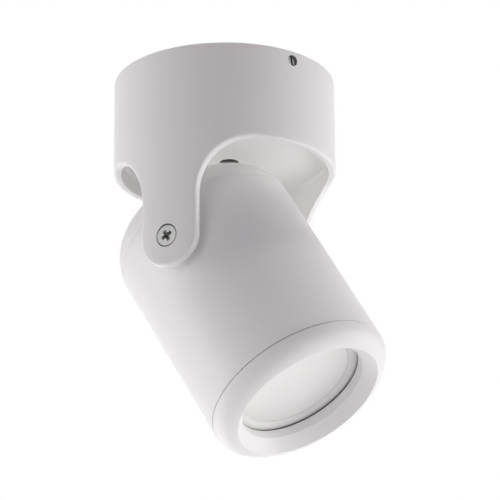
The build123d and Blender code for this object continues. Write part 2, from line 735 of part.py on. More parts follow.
# ---- front ring, screwed into the head's mouth, and the gasket behind it ---------------------------------
ring_front = head_mouth + ring_length
ring_bore_front = head_mouth + ring_bore_length
with BuildPart() as front_ring:
    with BuildSketch(head_section):
        with BuildLine():
            seam = (head_radius, head_mouth)
            lip = (ring_lip_radius, ring_front)
            thread_back = head_mouth - ring_thread_length
            RadiusArc(seam, lip, -ring_nose_radius)
            Polyline(lip, (ring_bore_radius, ring_bore_front), (ring_bore_radius, head_mouth),
                     (neck_bore, head_mouth), (neck_bore, thread_back),
                     (ring_thread_radius, thread_back), (ring_thread_radius, head_mouth), seam)
        make_face()
    revolve(axis=lamp_turn)
    seam_edge = front_ring.edges().filter_by(
        lambda e: e.geom_type == GeomType.CIRCLE and abs(e.radius - head_radius) < 0.01)
    chamfer(seam_edge, mouth_break)
    lip_edges = front_ring.edges().filter_by(
        lambda e: e.geom_type == GeomType.CIRCLE
        and min(abs(e.radius - ring_lip_radius), abs(e.radius - ring_bore_radius)) < 0.01)
    fillet(lip_edges, lip_round)
finish(front_ring.part, "front_ring")

with BuildPart() as lamp_gasket:
    with BuildSketch(station(lamp_rim_face)):
        Circle(gasket_radius)
        Circle(ring_bore_radius + gasket_setback, mode=Mode.SUBTRACT)
    extrude(amount=gasket_thickness)
finish(lamp_gasket.part, "lamp_gasket")
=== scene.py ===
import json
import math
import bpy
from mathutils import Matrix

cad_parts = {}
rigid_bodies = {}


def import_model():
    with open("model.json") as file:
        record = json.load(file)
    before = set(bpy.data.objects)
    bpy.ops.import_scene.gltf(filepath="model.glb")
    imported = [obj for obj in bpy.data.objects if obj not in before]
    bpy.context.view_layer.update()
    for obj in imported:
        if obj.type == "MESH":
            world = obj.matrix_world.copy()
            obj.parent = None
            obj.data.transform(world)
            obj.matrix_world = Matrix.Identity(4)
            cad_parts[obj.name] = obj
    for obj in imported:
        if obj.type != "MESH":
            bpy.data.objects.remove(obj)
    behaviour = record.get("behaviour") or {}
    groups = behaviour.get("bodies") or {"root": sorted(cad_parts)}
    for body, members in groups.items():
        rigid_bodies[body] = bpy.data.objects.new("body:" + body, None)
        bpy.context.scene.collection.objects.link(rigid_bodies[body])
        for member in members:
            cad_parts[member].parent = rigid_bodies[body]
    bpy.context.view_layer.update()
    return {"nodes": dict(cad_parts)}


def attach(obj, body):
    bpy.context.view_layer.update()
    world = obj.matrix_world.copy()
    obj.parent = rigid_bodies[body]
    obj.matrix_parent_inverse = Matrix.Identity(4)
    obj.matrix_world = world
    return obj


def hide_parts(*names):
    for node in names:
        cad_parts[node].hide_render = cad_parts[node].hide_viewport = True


bl_info = {
    "name": "Ceiling Spotlight",
    "version": (1, 0, 0),
    "blender": (4, 5, 0),
    "location": "3D View > Sidebar > Spotlight",
    "description": "A white ceiling spotlight: eared canopy, tilting head, front ring, lamp and fixings",
    "category": "Add Mesh",
}

import bmesh
import bpy
from bpy.props import FloatProperty, FloatVectorProperty, PointerProperty
from mathutils import Matrix, Vector
from mathutils.geometry import delaunay_2d_cdt

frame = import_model()

MERGE = 1e-6  # points nearer than this are one point
CREASE = 32.0  # degrees; edges sharper than this stay hard


# ---- sizes and colours a user may change -----------------------------

def size(name, description, default):
    """A length in metres."""
    return FloatProperty(name=name, description=description, default=default, unit="LENGTH",
                         precision=5)


def angle(name, description, degrees):
    """An angle, given in degrees."""
    return FloatProperty(name=name, description=description, default=math.radians(degrees),
                         subtype="ANGLE")


def amount(name, description, default):
    """A number from 0 up."""
    return FloatProperty(name=name, description=description, default=default, min=0.0)


def share(name, description, default):
    """A plain number from 0 to 1."""
    return FloatProperty(name=name, description=description, default=default, min=0.0, max=1.0,
                         subtype="FACTOR")


def colour(name, description, default):
    """A colour in linear light."""
    return FloatVectorProperty(name=name, description=description, default=default, size=3,
                               subtype="COLOR", min=0.0, max=1.0)


class SpotlightCanopySizes(bpy.types.PropertyGroup):
    """The tube on the ceiling and the two ears cut from its wall"""
    radius: size("Radius", "Outside of the tube", 0.040)
    wall: size("Wall", "Thickness of the tube's wall", 0.0027)
    skirt: size("Skirt", "From the ceiling down to the wall's edge between the ears", 0.0348)
    partition: size("Partition", "From the ceiling down to the partition's underside", 0.029)
    partition_thickness: size("Partition thickness", "Thickness of the partition", 0.002)
    partition_blend: size("Partition blend", "Radius between the partition and the wall", 0.0010)
    lead_hole: size("Lead hole", "Radius of the hole for the lead", 0.0037)
    lead_x: size("Lead hole X", "Place of the lead's hole along X", 0.0003)
    lead_y: size("Lead hole Y", "Place of the lead's hole along Y", 0.00265)
    pivot_drop: size("Pivot drop", "From the ceiling down to the pivot axis", 0.0704)
    ear: size("Ear half width", "Half the width of an ear, and its tip's radius", 0.011)
    ear_blend: size("Ear root width", "Width of the curve where an ear runs into the skirt", 0.0198)
    ear_rise: size("Ear root height", "Height of that curve", 0.0213)
    edge_round: size("Outer edge", "Rounding on the outer edge of the cut wall", 0.0009)
    edge_inner: size("Inner edge", "Rounding on the inner edge of the cut wall", 0.0003)
    pad_radius: size("Pad radius", "Flat bearing pad inside an ear", 0.0075)
    pad_height: size("Pad height", "How far the pad stands off the wall", 0.001)


class SpotlightHeadSizes(bpy.types.PropertyGroup):
    """The round-ended housing that tilts between the ears"""
    tilt: angle("Tilt", "From straight down, towards +X, at rest", 31.0)
    radius: size("Radius", "Outside of the head", 0.0335)
    wall: size("Wall", "Thickness of its wall", 0.0028)
    rear: size("Rear", "From the pivot back to the closed end", 0.028)
    rear_round: size("Rear rounding", "Radius of the closed end's corner", 0.014)
    crease: size("Crease", "From the pivot back to the fine line where the rounded end starts", 0.015)
    crease_depth: size("Crease depth", "Depth of that line", 0.0002)
    mouth: size("Mouth", "From the pivot to the open end", 0.0572)
    seam_gap: size("Seam gap", "Half the width of the gap between the head and the front ring", 0.00022)
    seam_depth: size("Seam depth", "Depth of that gap", 0.0012)
    grommet_hole: size("Grommet hole", "Radius of the hole in the closed end", 0.006)
    boss_radius: size("Boss radius", "Bearing boss under each ear", 0.0065)
    boss_face: size("Boss face", "From the head's middle to the boss's face", 0.0353)
    thread_crest: size("Thread crest", "Inside radius of the mouth's thread", 0.0312)
    thread_length: size("Thread length", "How far the thread goes in from the mouth", 0.0075)


class SpotlightRingSizes(bpy.types.PropertyGroup):
    """The front ring that screws into the head's mouth"""
    length: size("Length", "From the seam to the foremost line", 0.00714)
    nose_radius: size("Nose radius", "Radius of the rounded outside", 0.00796)
    lip_radius: size("Lip radius", "Radius of the foremost line", 0.0271)
    bore_radius: size("Bore radius", "Radius of the opening", 0.0234)
    bore_length: size("Bore length", "Straight part of the opening", 0.0028)
    lip_round: size("Lip rounding", "Radius on the lip and on the bore's edge", 0.0003)
    bead_width: size("Bead width", "Bead behind the opening, inside the gasket", 0.00045)
    bead_length: size("Bead length", "How far the bead reaches back", 0.0006)
    thread_crest: size("Thread crest", "Outside radius of the ring's thread", 0.0311)
    thread_length: size("Thread length", "How far the neck reaches into the head", 0.006)
    thread_wall: size("Neck wall", "Thickness of the threaded neck", 0.0025)
    thread_pitch: size("Pitch", "Advance in one turn", 0.0015)
    thread_depth: size("Thread depth", "Height of the thread", 0.0006)


class SpotlightLampSizes(bpy.types.PropertyGroup):
    """The twist-lock lamp behind the ring"""
    radius: size("Radius", "Outside of the rim", 0.025)
    rim_face: size("Rim face", "From the pivot to the rim's face", 0.0559)
    rim_length: size("Rim length", "Straight part behind the face", 0.0069)
    cap_radius: size("Cap radius", "Outside of the cap", 0.0125)
    cap_top: size("Cap top", "From the pivot to the cap's front end", 0.021)
    wall: size("Wall", "Thickness of the body", 0.0015)
    lens_radius: size("Lens radius", "Radius of the lens", 0.0206)
    lens_recess: size("Lens recess", "How far the lens sits behind the rim", 0.0012)
    lens_thickness: size("Lens thickness", "Thickness of the lens", 0.0018)
    lens_crown: size("Lens crown", "How far the lens bulges", 0.0005)


class SpotlightScrewSizes(bpy.types.PropertyGroup):
    """Pivot screws and the canopy's set screws"""
    pivot_radius: size("Pivot screw radius", "Shank of a pivot screw", 0.002)
    pivot_head: size("Pivot screw head", "Radius of a pivot screw's head", 0.00376)
    pivot_sink: size("Pivot screw sink", "Depth of its face below the canopy's outside", 0.0002)
    pivot_length: size("Pivot screw length", "Overall length", 0.016)
    cross_turn: angle("Cross turn", "Turn of the cross recess", 28.0)
    set_radius: size("Set screw radius", "Outside of a set screw", 0.002)
    set_recess: size("Set screw recess", "Depth of its end below the canopy's outside", 0.0009)
    set_length: size("Set screw length", "Overall length", 0.004)
    set_depth: size("Set screw depth", "From the ceiling down to its axis", 0.0036)
    set_azimuth: angle("Set screw azimuth", "From +X about Z", -22.0)
    slot_width: size("Slot width", "Width of a set screw's slot", 0.0008)
    slot_place: size("Slot place", "From the set screw's axis to the middle of its slot", 0.0002)
    slot_depth: size("Slot depth", "Depth of a set screw's slot", 0.0013)
    slot_turn: angle("Slot turn", "Turn of the slot from upright", 12.5)


class SpotlightFinishes(bpy.types.PropertyGroup):
    """Colours and surface of the finishes"""
    coat: colour("Powder coat", "White powder coat on the canopy, head and ring", (0.93, 0.925, 0.92))
    coat_roughness: share("Coat roughness", "Roughness of the powder coat", 0.42)
    # Painted shade: the grey that stands for the shade deep inside the canopy, above the partition.
    inner_painted_shade: colour("Inner painted shade", "Grey painted shade deep inside the canopy", (0.30, 0.30, 0.31))
    # Painted shade: near black for the shadow in the gap round each pivot screw's head, on the
    # countersinks' bare metal.
    countersink_shade: colour("Countersink Shade", "Bare metal of the countersinks, with painted shade", (0.030, 0.033, 0.034))
    tapped: colour("Tapped hole", "Bare metal of the set screws' holes", (0.26, 0.27, 0.27))
    lamp: colour("Lamp body", "Satin white of the lamp's body", (0.82, 0.82, 0.81))
    lens: colour("Lens", "Frosted front of the lamp", (0.86, 0.86, 0.85))
    gasket: colour("Gasket", "Black rubber behind the ring", (0.085, 0.090, 0.095))


class SpotlightStudio(bpy.types.PropertyGroup):
    """Lights and backdrop"""
    lamp_power: amount("Lamp power", "Brings all soft lamps up or down", 1.0)
    lamp_tint: colour("Lamp tint", "Colour of the soft lamps", (0.99, 1.0, 0.98))
    world_level: amount("World level", "Even light from all round", 0.208)
    world_tint: colour("World tint", "Colour of the even light", (1.0, 0.87, 0.98))
    floor_drop: size("Floor drop", "From the ceiling down to the floor", 0.70)


GROUPS = {
    "spotlight_canopy": SpotlightCanopySizes,
    "spotlight_head": SpotlightHeadSizes,
    "spotlight_ring": SpotlightRingSizes,
    "spotlight_lamp": SpotlightLampSizes,
    "spotlight_screws": SpotlightScrewSizes,
    "spotlight_finishes": SpotlightFinishes,
    "spotlight_studio": SpotlightStudio,
}


# ---- mesh helpers ----------------------------------------------------

AS_IS = ((1, 1),)  # signs for X and Y: one copy, not flipped
SCREWED = ((1, 1), (-1, -1))  # the quarters of the tube with a set screw
PLAIN = ((-1, 1), (1, -1))  # the quarters without one
ALL_QUARTERS = ((1, 1), (-1, 1), (1, -1), (-1, -1))


def add_object(name, mesh):
    """A new object at the origin that holds this mesh."""
    piece = bpy.data.objects.new(name, mesh)
    bpy.context.scene.collection.objects.link(piece)
    return piece


def close_up(mesh):
    """Merge doubles, turn faces outwards, and shade smooth but for creases."""
    work = bmesh.new()
    work.from_mesh(mesh)
    bmesh.ops.remove_doubles(work, verts=work.verts, dist=MERGE)
    bmesh.ops.dissolve_degenerate(work, dist=MERGE, edges=work.edges)
    loose = [edge for edge in work.edges if not edge.link_faces]
    bmesh.ops.delete(work, geom=loose, context="EDGES")
    bmesh.ops.recalc_face_normals(work, faces=work.faces)
    work.to_mesh(mesh)
    work.free()
    mesh.shade_smooth()
    mesh.set_sharp_from_angle(angle=math.radians(CREASE))
    mesh.update()


def spread(start, end, count):
    """count + 1 evenly spaced numbers."""
    return [start + (end - start) * i / count for i in range(count + 1)]


def polar(radius, degrees):
    """A flat point at this distance and angle."""
    return radius * math.cos(math.radians(degrees)), radius * math.sin(math.radians(degrees))


def arc(centre, radius, start, end, count):
    """Points on an arc; angles in degrees from the first axis."""
    return [(centre[0] + x, centre[1] + y)
            for x, y in (polar(radius, a) for a in spread(start, end, count))]


def oblong(left, right, low, high):
    """The four corners of an oblong."""
    return [(left, low), (right, low), (right, high), (left, high)]


def bend(start, corner, end, count):
    """Points on the curve from start to end that leans towards the corner."""
    return [start * (1 - t) ** 2 + corner * 2 * t * (1 - t) + end * t ** 2
            for t in spread(0, 1, count)]


def bulge(start, end, radius, count):
    """Points on the short arc from start to end that bulges to its right."""
    a, b = Vector(start), Vector(end)
    chord = b - a
    side = Vector((chord.y, -chord.x)).normalized()
    rise = math.sqrt(radius ** 2 - chord.length_squared / 4)
    centre = (a + b) / 2 - side * rise
    first = math.degrees(math.atan2(a.y - centre.y, a.x - centre.x))
    last = math.degrees(math.atan2(b.y - centre.y, b.x - centre.x))
    if last - first > 180:
        last -= 360
    if first - last > 180:
        last += 360
    return arc(centre, radius, first, last, count)


def rounded(points, roundings, count=4):
    """A closed outline with some corners rounded: roundings maps a corner's index to its radius."""
    outline = []
    for i, point in enumerate(points):
        if i not in roundings:
            outline.append(tuple(point))
            continue
        corner = Vector(point)
        before = (Vector(points[i - 1]) - corner).normalized()
        after = (Vector(points[(i + 1) % len(points)]) - corner).normalized()
        reach = roundings[i] / math.tan(before.angle(after) / 2)
        outline += map(tuple, bend(corner + before * reach, corner, corner + after * reach, count))
    return outline


class Surface:
    """Points and faces gathered before they become one mesh."""

    def __init__(self):
        self.points = []
        self.faces = []

    def add(self, points, faces, flips=AS_IS):
        """Add points and faces, once for each pair of signs."""
        for sign_x, sign_y in flips:
            start = len(self.points)
            self.points += [(x * sign_x, y * sign_y, z) for x, y, z in points]
            self.faces += [tuple(start + i for i in face) for face in faces]

    def sheet(self, rows, flips=AS_IS):
        """Quads between each row of points and the next."""
        for first, second in zip(rows, rows[1:]):
            n = len(first)
            self.add([*first, *second], [(i, i + 1, n + i + 1, n + i) for i in range(n - 1)], flips)

    def lathe(self, outline, place, count):
        """Sweep a closed outline of radius and height about a local Z axis."""
        self.sheet([[place @ Vector((radius * math.cos(a), radius * math.sin(a), height))
                     for a in spread(0, 2 * math.pi, count)]
                    for radius, height in [*outline, outline[0]]])

    def mesh(self, name):
        mesh = bpy.data.meshes.new(name)
        mesh.from_pydata(self.points, [], self.faces)
        close_up(mesh)
        return mesh


def lathed(name, outline, place, count):
    """An object turned about a local Z axis."""
    surface = Surface()
    surface.lathe(outline, place, count)
    return add_object(name, surface.mesh(name))


def prism(name, rows):
    """A closed object through rows of corners, with flat ends."""
    surface = Surface()
    surface.sheet([row + row[:1] for row in rows])
    for end in (rows[0], rows[-1]):
        surface.add(end, [tuple(range(len(end)))])
    return add_object(name, surface.mesh(name))


def pivot_frame(turn, axis):
    """A frame in the middle of the pivot, turned about one of the row frame's axes."""
    drop = bpy.context.scene.spotlight_canopy.pivot_drop
    return Matrix.Translation((0, 0, -drop)) @ Matrix.Rotation(turn, 4, axis)


def head_frame():
    """The head's own frame, Z forwards along its axis."""
    return pivot_frame(math.pi - bpy.context.scene.spotlight_head.tilt, "Y")


def ear_frame(side):
    """The pivot axis's frame, Z outwards through the near ear (-1) or the far one (1)."""
    return pivot_frame(side * -math.pi / 2, "X")


def take_place(piece, body, slot, *nodes):
    """The piece stands for these nodes and rides on their body."""
    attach(piece, body)
    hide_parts(*nodes)


def evaluated_mesh(piece):
    """Turn what an object's modifiers give into its plain mesh, and drop them."""
    graph = bpy.context.evaluated_depsgraph_get()
    graph.update()
    result = bpy.data.meshes.new_from_object(piece.evaluated_get(graph))
    result.name = piece.name
    piece.modifiers.clear()
    piece.data = result
    return result


def cut(piece, tools, operation):
    """Join tools to a piece, or cut them out of it, and drop the tools."""
    for tool in tools:
        modifier = piece.modifiers.new("Cut", "BOOLEAN")
        modifier.operation = operation
        modifier.solver = "EXACT"
        modifier.object = tool
    evaluated_mesh(piece)
    for tool in tools:
        bpy.data.objects.remove(tool)


# ---- nodes -----------------------------------------------------------

SHARED = {}


def shared(make):
    """Build something once and hand out the same one after that."""
    if make not in SHARED:
        SHARED[make] = make()
    return SHARED[make]


def add_node(tree, kind, inputs=None, **settings):
    """Add a node of this kind and set it; its inputs are linked to sockets or set to values."""
    node = tree.nodes.new(kind)
    for key, value in settings.items():
        setattr(node, key, value)
    for key, value in (inputs or {}).items():
        if isinstance(value, bpy.types.NodeSocket):
            tree.links.new(value, node.inputs[key])
        else:
            node.inputs[key].default_value = value
    return node


def add_inputs(group, inputs):
    """Named inputs of a group, from rows of name, kind and default; gives their identifiers."""
    ids = {}
    for name, kind, default in inputs:
        socket = group.interface.new_socket(name, in_out="INPUT", socket_type=f"NodeSocket{kind}")
        if default is not None:
            socket.default_value = default
        ids[name] = socket.identifier
    return ids


class Tree:
    """A geometry tree with named inputs, built node by node."""

    def __init__(self, name, *inputs):
        self.group = bpy.data.node_groups.new(name, "GeometryNodeTree")
        self.group.interface.new_socket("Geometry", in_out="OUTPUT", socket_type="NodeSocketGeometry")
        self.ids = add_inputs(self.group, inputs)
        self.given = self.group.nodes.new("NodeGroupInput").outputs

    def node(self, kind, inputs=None, **settings):
        """Add a node and give its first output. Text among its inputs names an input of the tree."""
        inputs = {key: self.given[value] if isinstance(value, str) else value
                  for key, value in (inputs or {}).items()}
        prefix = "" if kind.startswith(("Shader", "Function")) else "GeometryNode"
        return add_node(self.group, prefix + kind, inputs, **settings).outputs[0]

    def sweep(self, path, profile, caps):
        """Sweep a profile along a path whose normals stay level, then turn and place it."""
        level = self.node("SetCurveNormal", {"Curve": path}, mode="Z_UP")
        swept = self.node("CurveToMesh", {"Curve": level, "Profile Curve": profile, "Fill Caps": caps})
        return self.node("Transform", {"Geometry": swept, "Translation": "Place", "Rotation": "Turn"})

    def end(self, geometry):
        """Realize Instances, Set Material and the group's output; gives the tree."""
        real = self.node("RealizeInstances", {"Geometry": geometry})
        painted = self.node("SetMaterial", {"Geometry": real, "Material": "Material"})
        self.group.links.new(painted, self.group.nodes.new("NodeGroupOutput").inputs[0])
        return self

    def run(self, name, mesh, inputs):
        """Evaluate the tree on a mesh and keep the result as a plain object."""
        piece = add_object(name, mesh)
        modifier = piece.modifiers.new("Shape", "NODES")
        modifier.node_group = self.group
        for key, value in inputs.items():
            modifier[self.ids[key]] = value
        result = evaluated_mesh(piece)
        result.materials.clear()
        result.materials.append(inputs["Material"])
        close_up(result)
        return piece

    def run_on(self, piece, inputs):
        """Evaluate the tree on a piece; the result takes its name and place."""
        name, mesh = piece.name, piece.data
        bpy.data.objects.remove(piece)
        return self.run(name, mesh, inputs)


PLACED = (("Place", "Vector", None), ("Turn", "Rotation", None), ("Material", "Material", None))


def placed_at(place, material):
    """What goes into the inputs that every placed tree has."""
    return {"Place": place.to_translation(), "Turn": place.to_euler(), "Material": material}


def turned_part_tree():
    """An outline of radius and station, swept round the head's axis."""
    tree = Tree("Turned part", ("Outline", "Geometry", None), ("Segments", "Int", 192),
                ("Path Radius", "Float", 0.001), *PLACED)
    outline = tree.node("MeshToCurve", {"Mesh": "Outline"})
    inward = tree.node("ShaderNodeMath", {0: "Path Radius", 1: -1.0}, operation="MULTIPLY")
    shift = tree.node("ShaderNodeCombineXYZ", {"X": inward})
    moved = tree.node("Transform", {"Geometry": outline, "Translation": shift})
    path = tree.node("CurvePrimitiveCircle", {"Resolution": "Segments", "Radius": "Path Radius"})
    return tree.end(tree.sweep(path, moved, False))


def thread_tree():
    """A thread's ridge along a helix, on a turned part."""
    tree = Tree("Thread ridge", ("Geometry", "Geometry", None), ("Radius", "Float", 0.03),
                ("Height", "Float", 0.0007), ("Root", "Float", 0.0013), ("Crest", "Float", 0.0003),
                ("Turns", "Float", 3.0), ("Advance", "Float", 0.0045), ("Steps", "Int", 96),
                ("Facing", "Float", 0.0), *PLACED)
    helix = tree.node("CurveSpiral", {"Resolution": "Steps", "Rotations": "Turns", "Height": "Advance",
                                      "Start Radius": "Radius", "End Radius": "Radius"})
    ridge = tree.node("CurvePrimitiveQuadrilateral", {"Height": "Height", "Bottom Width": "Root",
                                                      "Top Width": "Crest", "Offset": 0.0},
                      mode="TRAPEZOID")
    facing = tree.node("ShaderNodeCombineXYZ", {"Z": "Facing"})
    turned = tree.node("Transform", {"Geometry": ridge, "Rotation": facing})
    joined = tree.node("JoinGeometry", {"Geometry": tree.sweep(helix, turned, True)})
    tree.group.links.new(tree.given["Geometry"], joined.node.inputs[0])
    return tree.end(joined)


def both_sides_tree():
    """The same fixing again on the other side: a half turn about an upright axis."""
    tree = Tree("Fixing on both sides", ("Fixing", "Geometry", None), ("Count", "Int", 2),
                ("Step", "Float", math.pi), ("Material", "Material", None))
    spots = tree.node("MeshLine", {"Count": "Count", "Offset": (0, 0, 0)})
    angle_each = tree.node("ShaderNodeMath", {0: tree.node("InputIndex"), 1: "Step"},
                           operation="MULTIPLY")
    upright = tree.node("FunctionNodeAxisAngleToRotation", {"Angle": angle_each, "Axis": (0, 0, 1)})
    return tree.end(tree.node("InstanceOnPoints", {"Points": spots, "Instance": "Fixing",
                                                   "Rotation": upright}))


def turned_part(name, outline, material, segments):
    """A turned piece about the head's axis, from its closed outline of radius and station."""
    mesh = bpy.data.meshes.new(name)
    n = len(outline)
    mesh.from_pydata([(r, -s, 0) for r, s in outline],  # the sweep turns Y over
                     [(i, (i + 1) % n) for i in range(n)], [])
    return shared(turned_part_tree).run(name, mesh, {"Segments": segments,
                                                     **placed_at(head_frame(), material)})


THREAD_STEPS = 72  # in one turn
THREAD_OVERLAP = 0.00005  # how far a thread's ridge reaches into its wall


def add_thread(piece, crest, root, start, turns, material):
    """Lay a thread's ridge on a turned piece, from a station forwards."""
    ring = bpy.context.scene.spotlight_ring
    side = 1 if root > crest else -1  # in a mouth or on a neck
    return shared(thread_tree).run_on(piece, {
        "Radius": (crest + root) / 2 + side * THREAD_OVERLAP,
        "Height": ring.thread_depth + 2 * THREAD_OVERLAP,
        "Turns": turns,
        "Advance": ring.thread_pitch * turns,
        "Steps": int(THREAD_STEPS * turns),
        "Facing": side * math.pi / 2,
        **placed_at(head_frame() @ Matrix.Translation((0, 0, start)), material)})


# ---- materials -------------------------------------------------------

MIX_FIRST, MIX_SECOND, MIX_RESULT = 6, 7, 2  # the colour sockets of a mix node
LINE_SCALE = 0.05  # over the line size, gives the scale of the lines' noise
METAL_CLOUDS = 350.0  # scale of the patches on metal
SHADE_CLOUDS = 120.0  # scale of the patches in the painted shade deep inside
SHADE_PATCHES = (0.6, 1.1)  # least and most of that painted shade, patch by patch
SHADE_FROM, SHADE_DEEPEST = -0.003, -0.014  # heights between which that painted shade darkens
WALL_MARGIN, FLOOR_MARGIN = 0.0001, 0.001  # the painted shade's bounds, past the bore and the partition


def wire(tree, kind, inputs=None, **settings):
    """Add a shader node."""
    return add_node(tree, f"ShaderNode{kind}", inputs, **settings)


def maths(tree, operation, *terms):
    """A sum, product or comparison of sockets and numbers."""
    return wire(tree, "Math", dict(enumerate(terms)), operation=operation).outputs[0]


def vector_maths(tree, operation, output, inputs):
    """One output of a sum or product of vectors."""
    return wire(tree, "VectorMath", inputs, operation=operation).outputs[output]


def across(tree, first, second):
    """The distance that two square steps add up to."""
    step = wire(tree, "CombineXYZ", {"X": first, "Y": second}).outputs[0]
    return vector_maths(tree, "LENGTH", "Value", {0: step})


def between(tree, factor, low, high):
    """A number that runs from low to high as the factor runs from 0 to 1."""
    return wire(tree, "MapRange", {"Value": factor, "To Min": low, "To Max": high}).outputs["Result"]


def blend(tree, factor, first, second):
    """A colour that runs from first to second as the factor runs from 0 to 1."""
    mix = wire(tree, "Mix", {"Factor": factor, MIX_FIRST: first, MIX_SECOND: second}, data_type="RGBA")
    return mix.outputs[MIX_RESULT]


def noise(tree, place, scale, detail, roughness=0.5):
    """Soft noise from 0 to 1."""
    return wire(tree, "TexNoise", {"Vector": place, "Scale": scale, "Detail": detail,
                                   "Roughness": roughness}).outputs[0]


def effect_group(name, inputs, outputs):
    """A shader group with named sockets: the group, its inputs, its outputs, Object coordinates."""
    group = bpy.data.node_groups.new(name, "ShaderNodeTree")
    add_inputs(group, inputs)
    for label, kind in outputs:
        group.interface.new_socket(label, in_out="OUTPUT", socket_type=f"NodeSocket{kind}")
    given, sink = group.nodes.new("NodeGroupInput").outputs, group.nodes.new("NodeGroupOutput").inputs
    return group, given, sink, wire(group, "TexCoord").outputs["Object"]


SURFACE = [("Colour", "Color"), ("Roughness", "Float"), ("Normal", "Vector")]


def put_out(group, given, sink, tint, relief, depth):
    """Put out a colour, and the roughness and normal that follow a relief."""
    rougher = maths(group, "ADD", given["Roughness"], given["Roughness Spread"])
    rough = between(group, relief, given["Roughness"], rougher)
    bump = wire(group, "Bump", {"Height": relief, "Distance": given[depth], "Strength": 1.0})
    for (label, _), value in zip(SURFACE, (tint, rough, bump.outputs[0])):
        group.links.new(value, sink[label])
    return group


def grain_group():
    """Soft mottling and a fine surface grain, both in object space."""
    group, given, sink, where = effect_group(
        "Surface grain",
        [("Grain Size", "Float", 0.0006), ("Grain Depth", "Float", 0.00001),
         ("Mottle Size", "Float", 0.02), ("Colour", "Color", (0.8, 0.8, 0.8, 1)),
         ("Colour Spread", "Float", 0.03), ("Roughness", "Float", 0.45),
         ("Roughness Spread", "Float", 0.05)], SURFACE)
    fine = noise(group, where, maths(group, "DIVIDE", 1.0, given["Grain Size"]), 2.0)
    wide = noise(group, where, maths(group, "DIVIDE", 1.0, given["Mottle Size"]), 3.0, 0.55)
    level = between(group, wide, maths(group, "SUBTRACT", 1.0, given["Colour Spread"]), 1.0)
    tint = vector_maths(group, "SCALE", 0, {0: given["Colour"], "Scale": level})
    return put_out(group, given, sink, tint, fine, "Grain Depth")


def lines_group():
    """Fine turning or rolling lines across metal, with cloudy patches."""
    group, given, sink, where = effect_group(
        "Metal lines",
        [("Line Size", "Float", 0.0002), ("Line Depth", "Float", 0.000004),
         ("Direction", "Vector", (1, 1, 20)), ("Colour", "Color", (0.6, 0.6, 0.6, 1)),
         ("Dull Colour", "Color", (0.5, 0.5, 0.5, 1)), ("Roughness", "Float", 0.3),
         ("Roughness Spread", "Float", 0.12)], SURFACE)
    along = vector_maths(group, "MULTIPLY", 0, {0: where, 1: given["Direction"]})
    lines = noise(group, along, maths(group, "DIVIDE", LINE_SCALE, given["Line Size"]), 4.0, 0.6)
    patches = noise(group, where, METAL_CLOUDS, 3.0)
    tint = blend(group, patches, given["Colour"], given["Dull Colour"])
    return put_out(group, given, sink, tint, lines, "Line Depth")


def uncoated_and_shade_group():
    """Bare tapped holes, and painted shade: in the countersinks, and deep inside the canopy, darker with
    depth.
    """
    group, given, sink, where = effect_group(
        "Uncoated areas and painted shade",
        [("Outer Radius", "Float", 0.04), ("Pivot Drop", "Float", 0.07),
         ("Sink Radius", "Float", 0.0042), ("Screw Direction", "Vector", (1, 0, 0)),
         ("Screw Drop", "Float", 0.004), ("Screw Radius", "Float", 0.002),
         ("Inner Radius", "Float", 0.0372), ("Floor", "Float", 0.0265)],
        [("Countersink Shade", "Float"), ("Tapped Hole", "Float"), ("Inner Painted Shade", "Float")])
    x, y, z = wire(group, "SeparateXYZ", {0: where}).outputs

    # Painted shade in the countersinks round the pivot screws' heads.
    reach = across(group, x, maths(group, "ADD", z, given["Pivot Drop"]))
    sunk = maths(group, "SUBTRACT", given["Outer Radius"], maths(group, "ABSOLUTE", y))
    cone = maths(group, "ADD", reach, sunk)
    group.links.new(maths(group, "LESS_THAN", cone, given["Sink Radius"]), sink["Countersink Shade"])

    level = wire(group, "CombineXYZ", {"X": x, "Y": y, "Z": maths(group, "ADD", z, given["Screw Drop"])})
    aside = vector_maths(group, "CROSS_PRODUCT", 0, {0: level.outputs[0], 1: given["Screw Direction"]})
    away = vector_maths(group, "LENGTH", "Value", {0: aside})
    group.links.new(maths(group, "LESS_THAN", away, given["Screw Radius"]), sink["Tapped Hole"])

    # Painted shade deep inside the canopy, above the partition, darker with depth, in patches.
    inside = maths(group, "LESS_THAN", across(group, x, y), given["Inner Radius"])
    above = maths(group, "GREATER_THAN", maths(group, "ADD", z, given["Floor"]), 0.0)
    depth = wire(group, "MapRange", {"Value": z, "From Min": SHADE_FROM, "From Max": SHADE_DEEPEST})
    deep_shade = maths(group, "MULTIPLY", maths(group, "MULTIPLY", inside, above), depth.outputs["Result"])
    patches = between(group, noise(group, where, SHADE_CLOUDS, 3.0), *SHADE_PATCHES)
    deep_shade = maths(group, "MULTIPLY", deep_shade, patches)
    group.links.new(maths(group, "MINIMUM", deep_shade, 1.0), sink["Inner Painted Shade"])
    return group


def new_material(name, group, values, metallic):
    """A material whose colour, roughness and normal come from an effect group."""
    material = bpy.data.materials.new(name)
    material.use_nodes = True
    tree = material.node_tree
    values = {key: (*value, 1.0) if key.endswith("Colour") else value for key, value in values.items()}
    effect = wire(tree, "Group", node_tree=group)
    for key, value in values.items():
        effect.inputs[key].default_value = value
    principled = tree.nodes["Principled BSDF"]
    for label, socket in (("Colour", "Base Color"), ("Roughness", "Roughness"), ("Normal", "Normal")):
        tree.links.new(effect.outputs[label], principled.inputs[socket])
    principled.inputs["Metallic"].default_value = metallic
    material.diffuse_color = values["Colour"]
    return material


def grained(name, tint, grain, depth, roughness, mottle=0.02, patchy=0.03, rougher=0.06):
    """Coated, moulded, ceramic or rubber surface."""
    return new_material(name, shared(grain_group), {
        "Grain Size": grain, "Grain Depth": depth, "Mottle Size": mottle, "Colour": tint,
        "Colour Spread": patchy, "Roughness": roughness, "Roughness Spread": rougher}, 0.0)


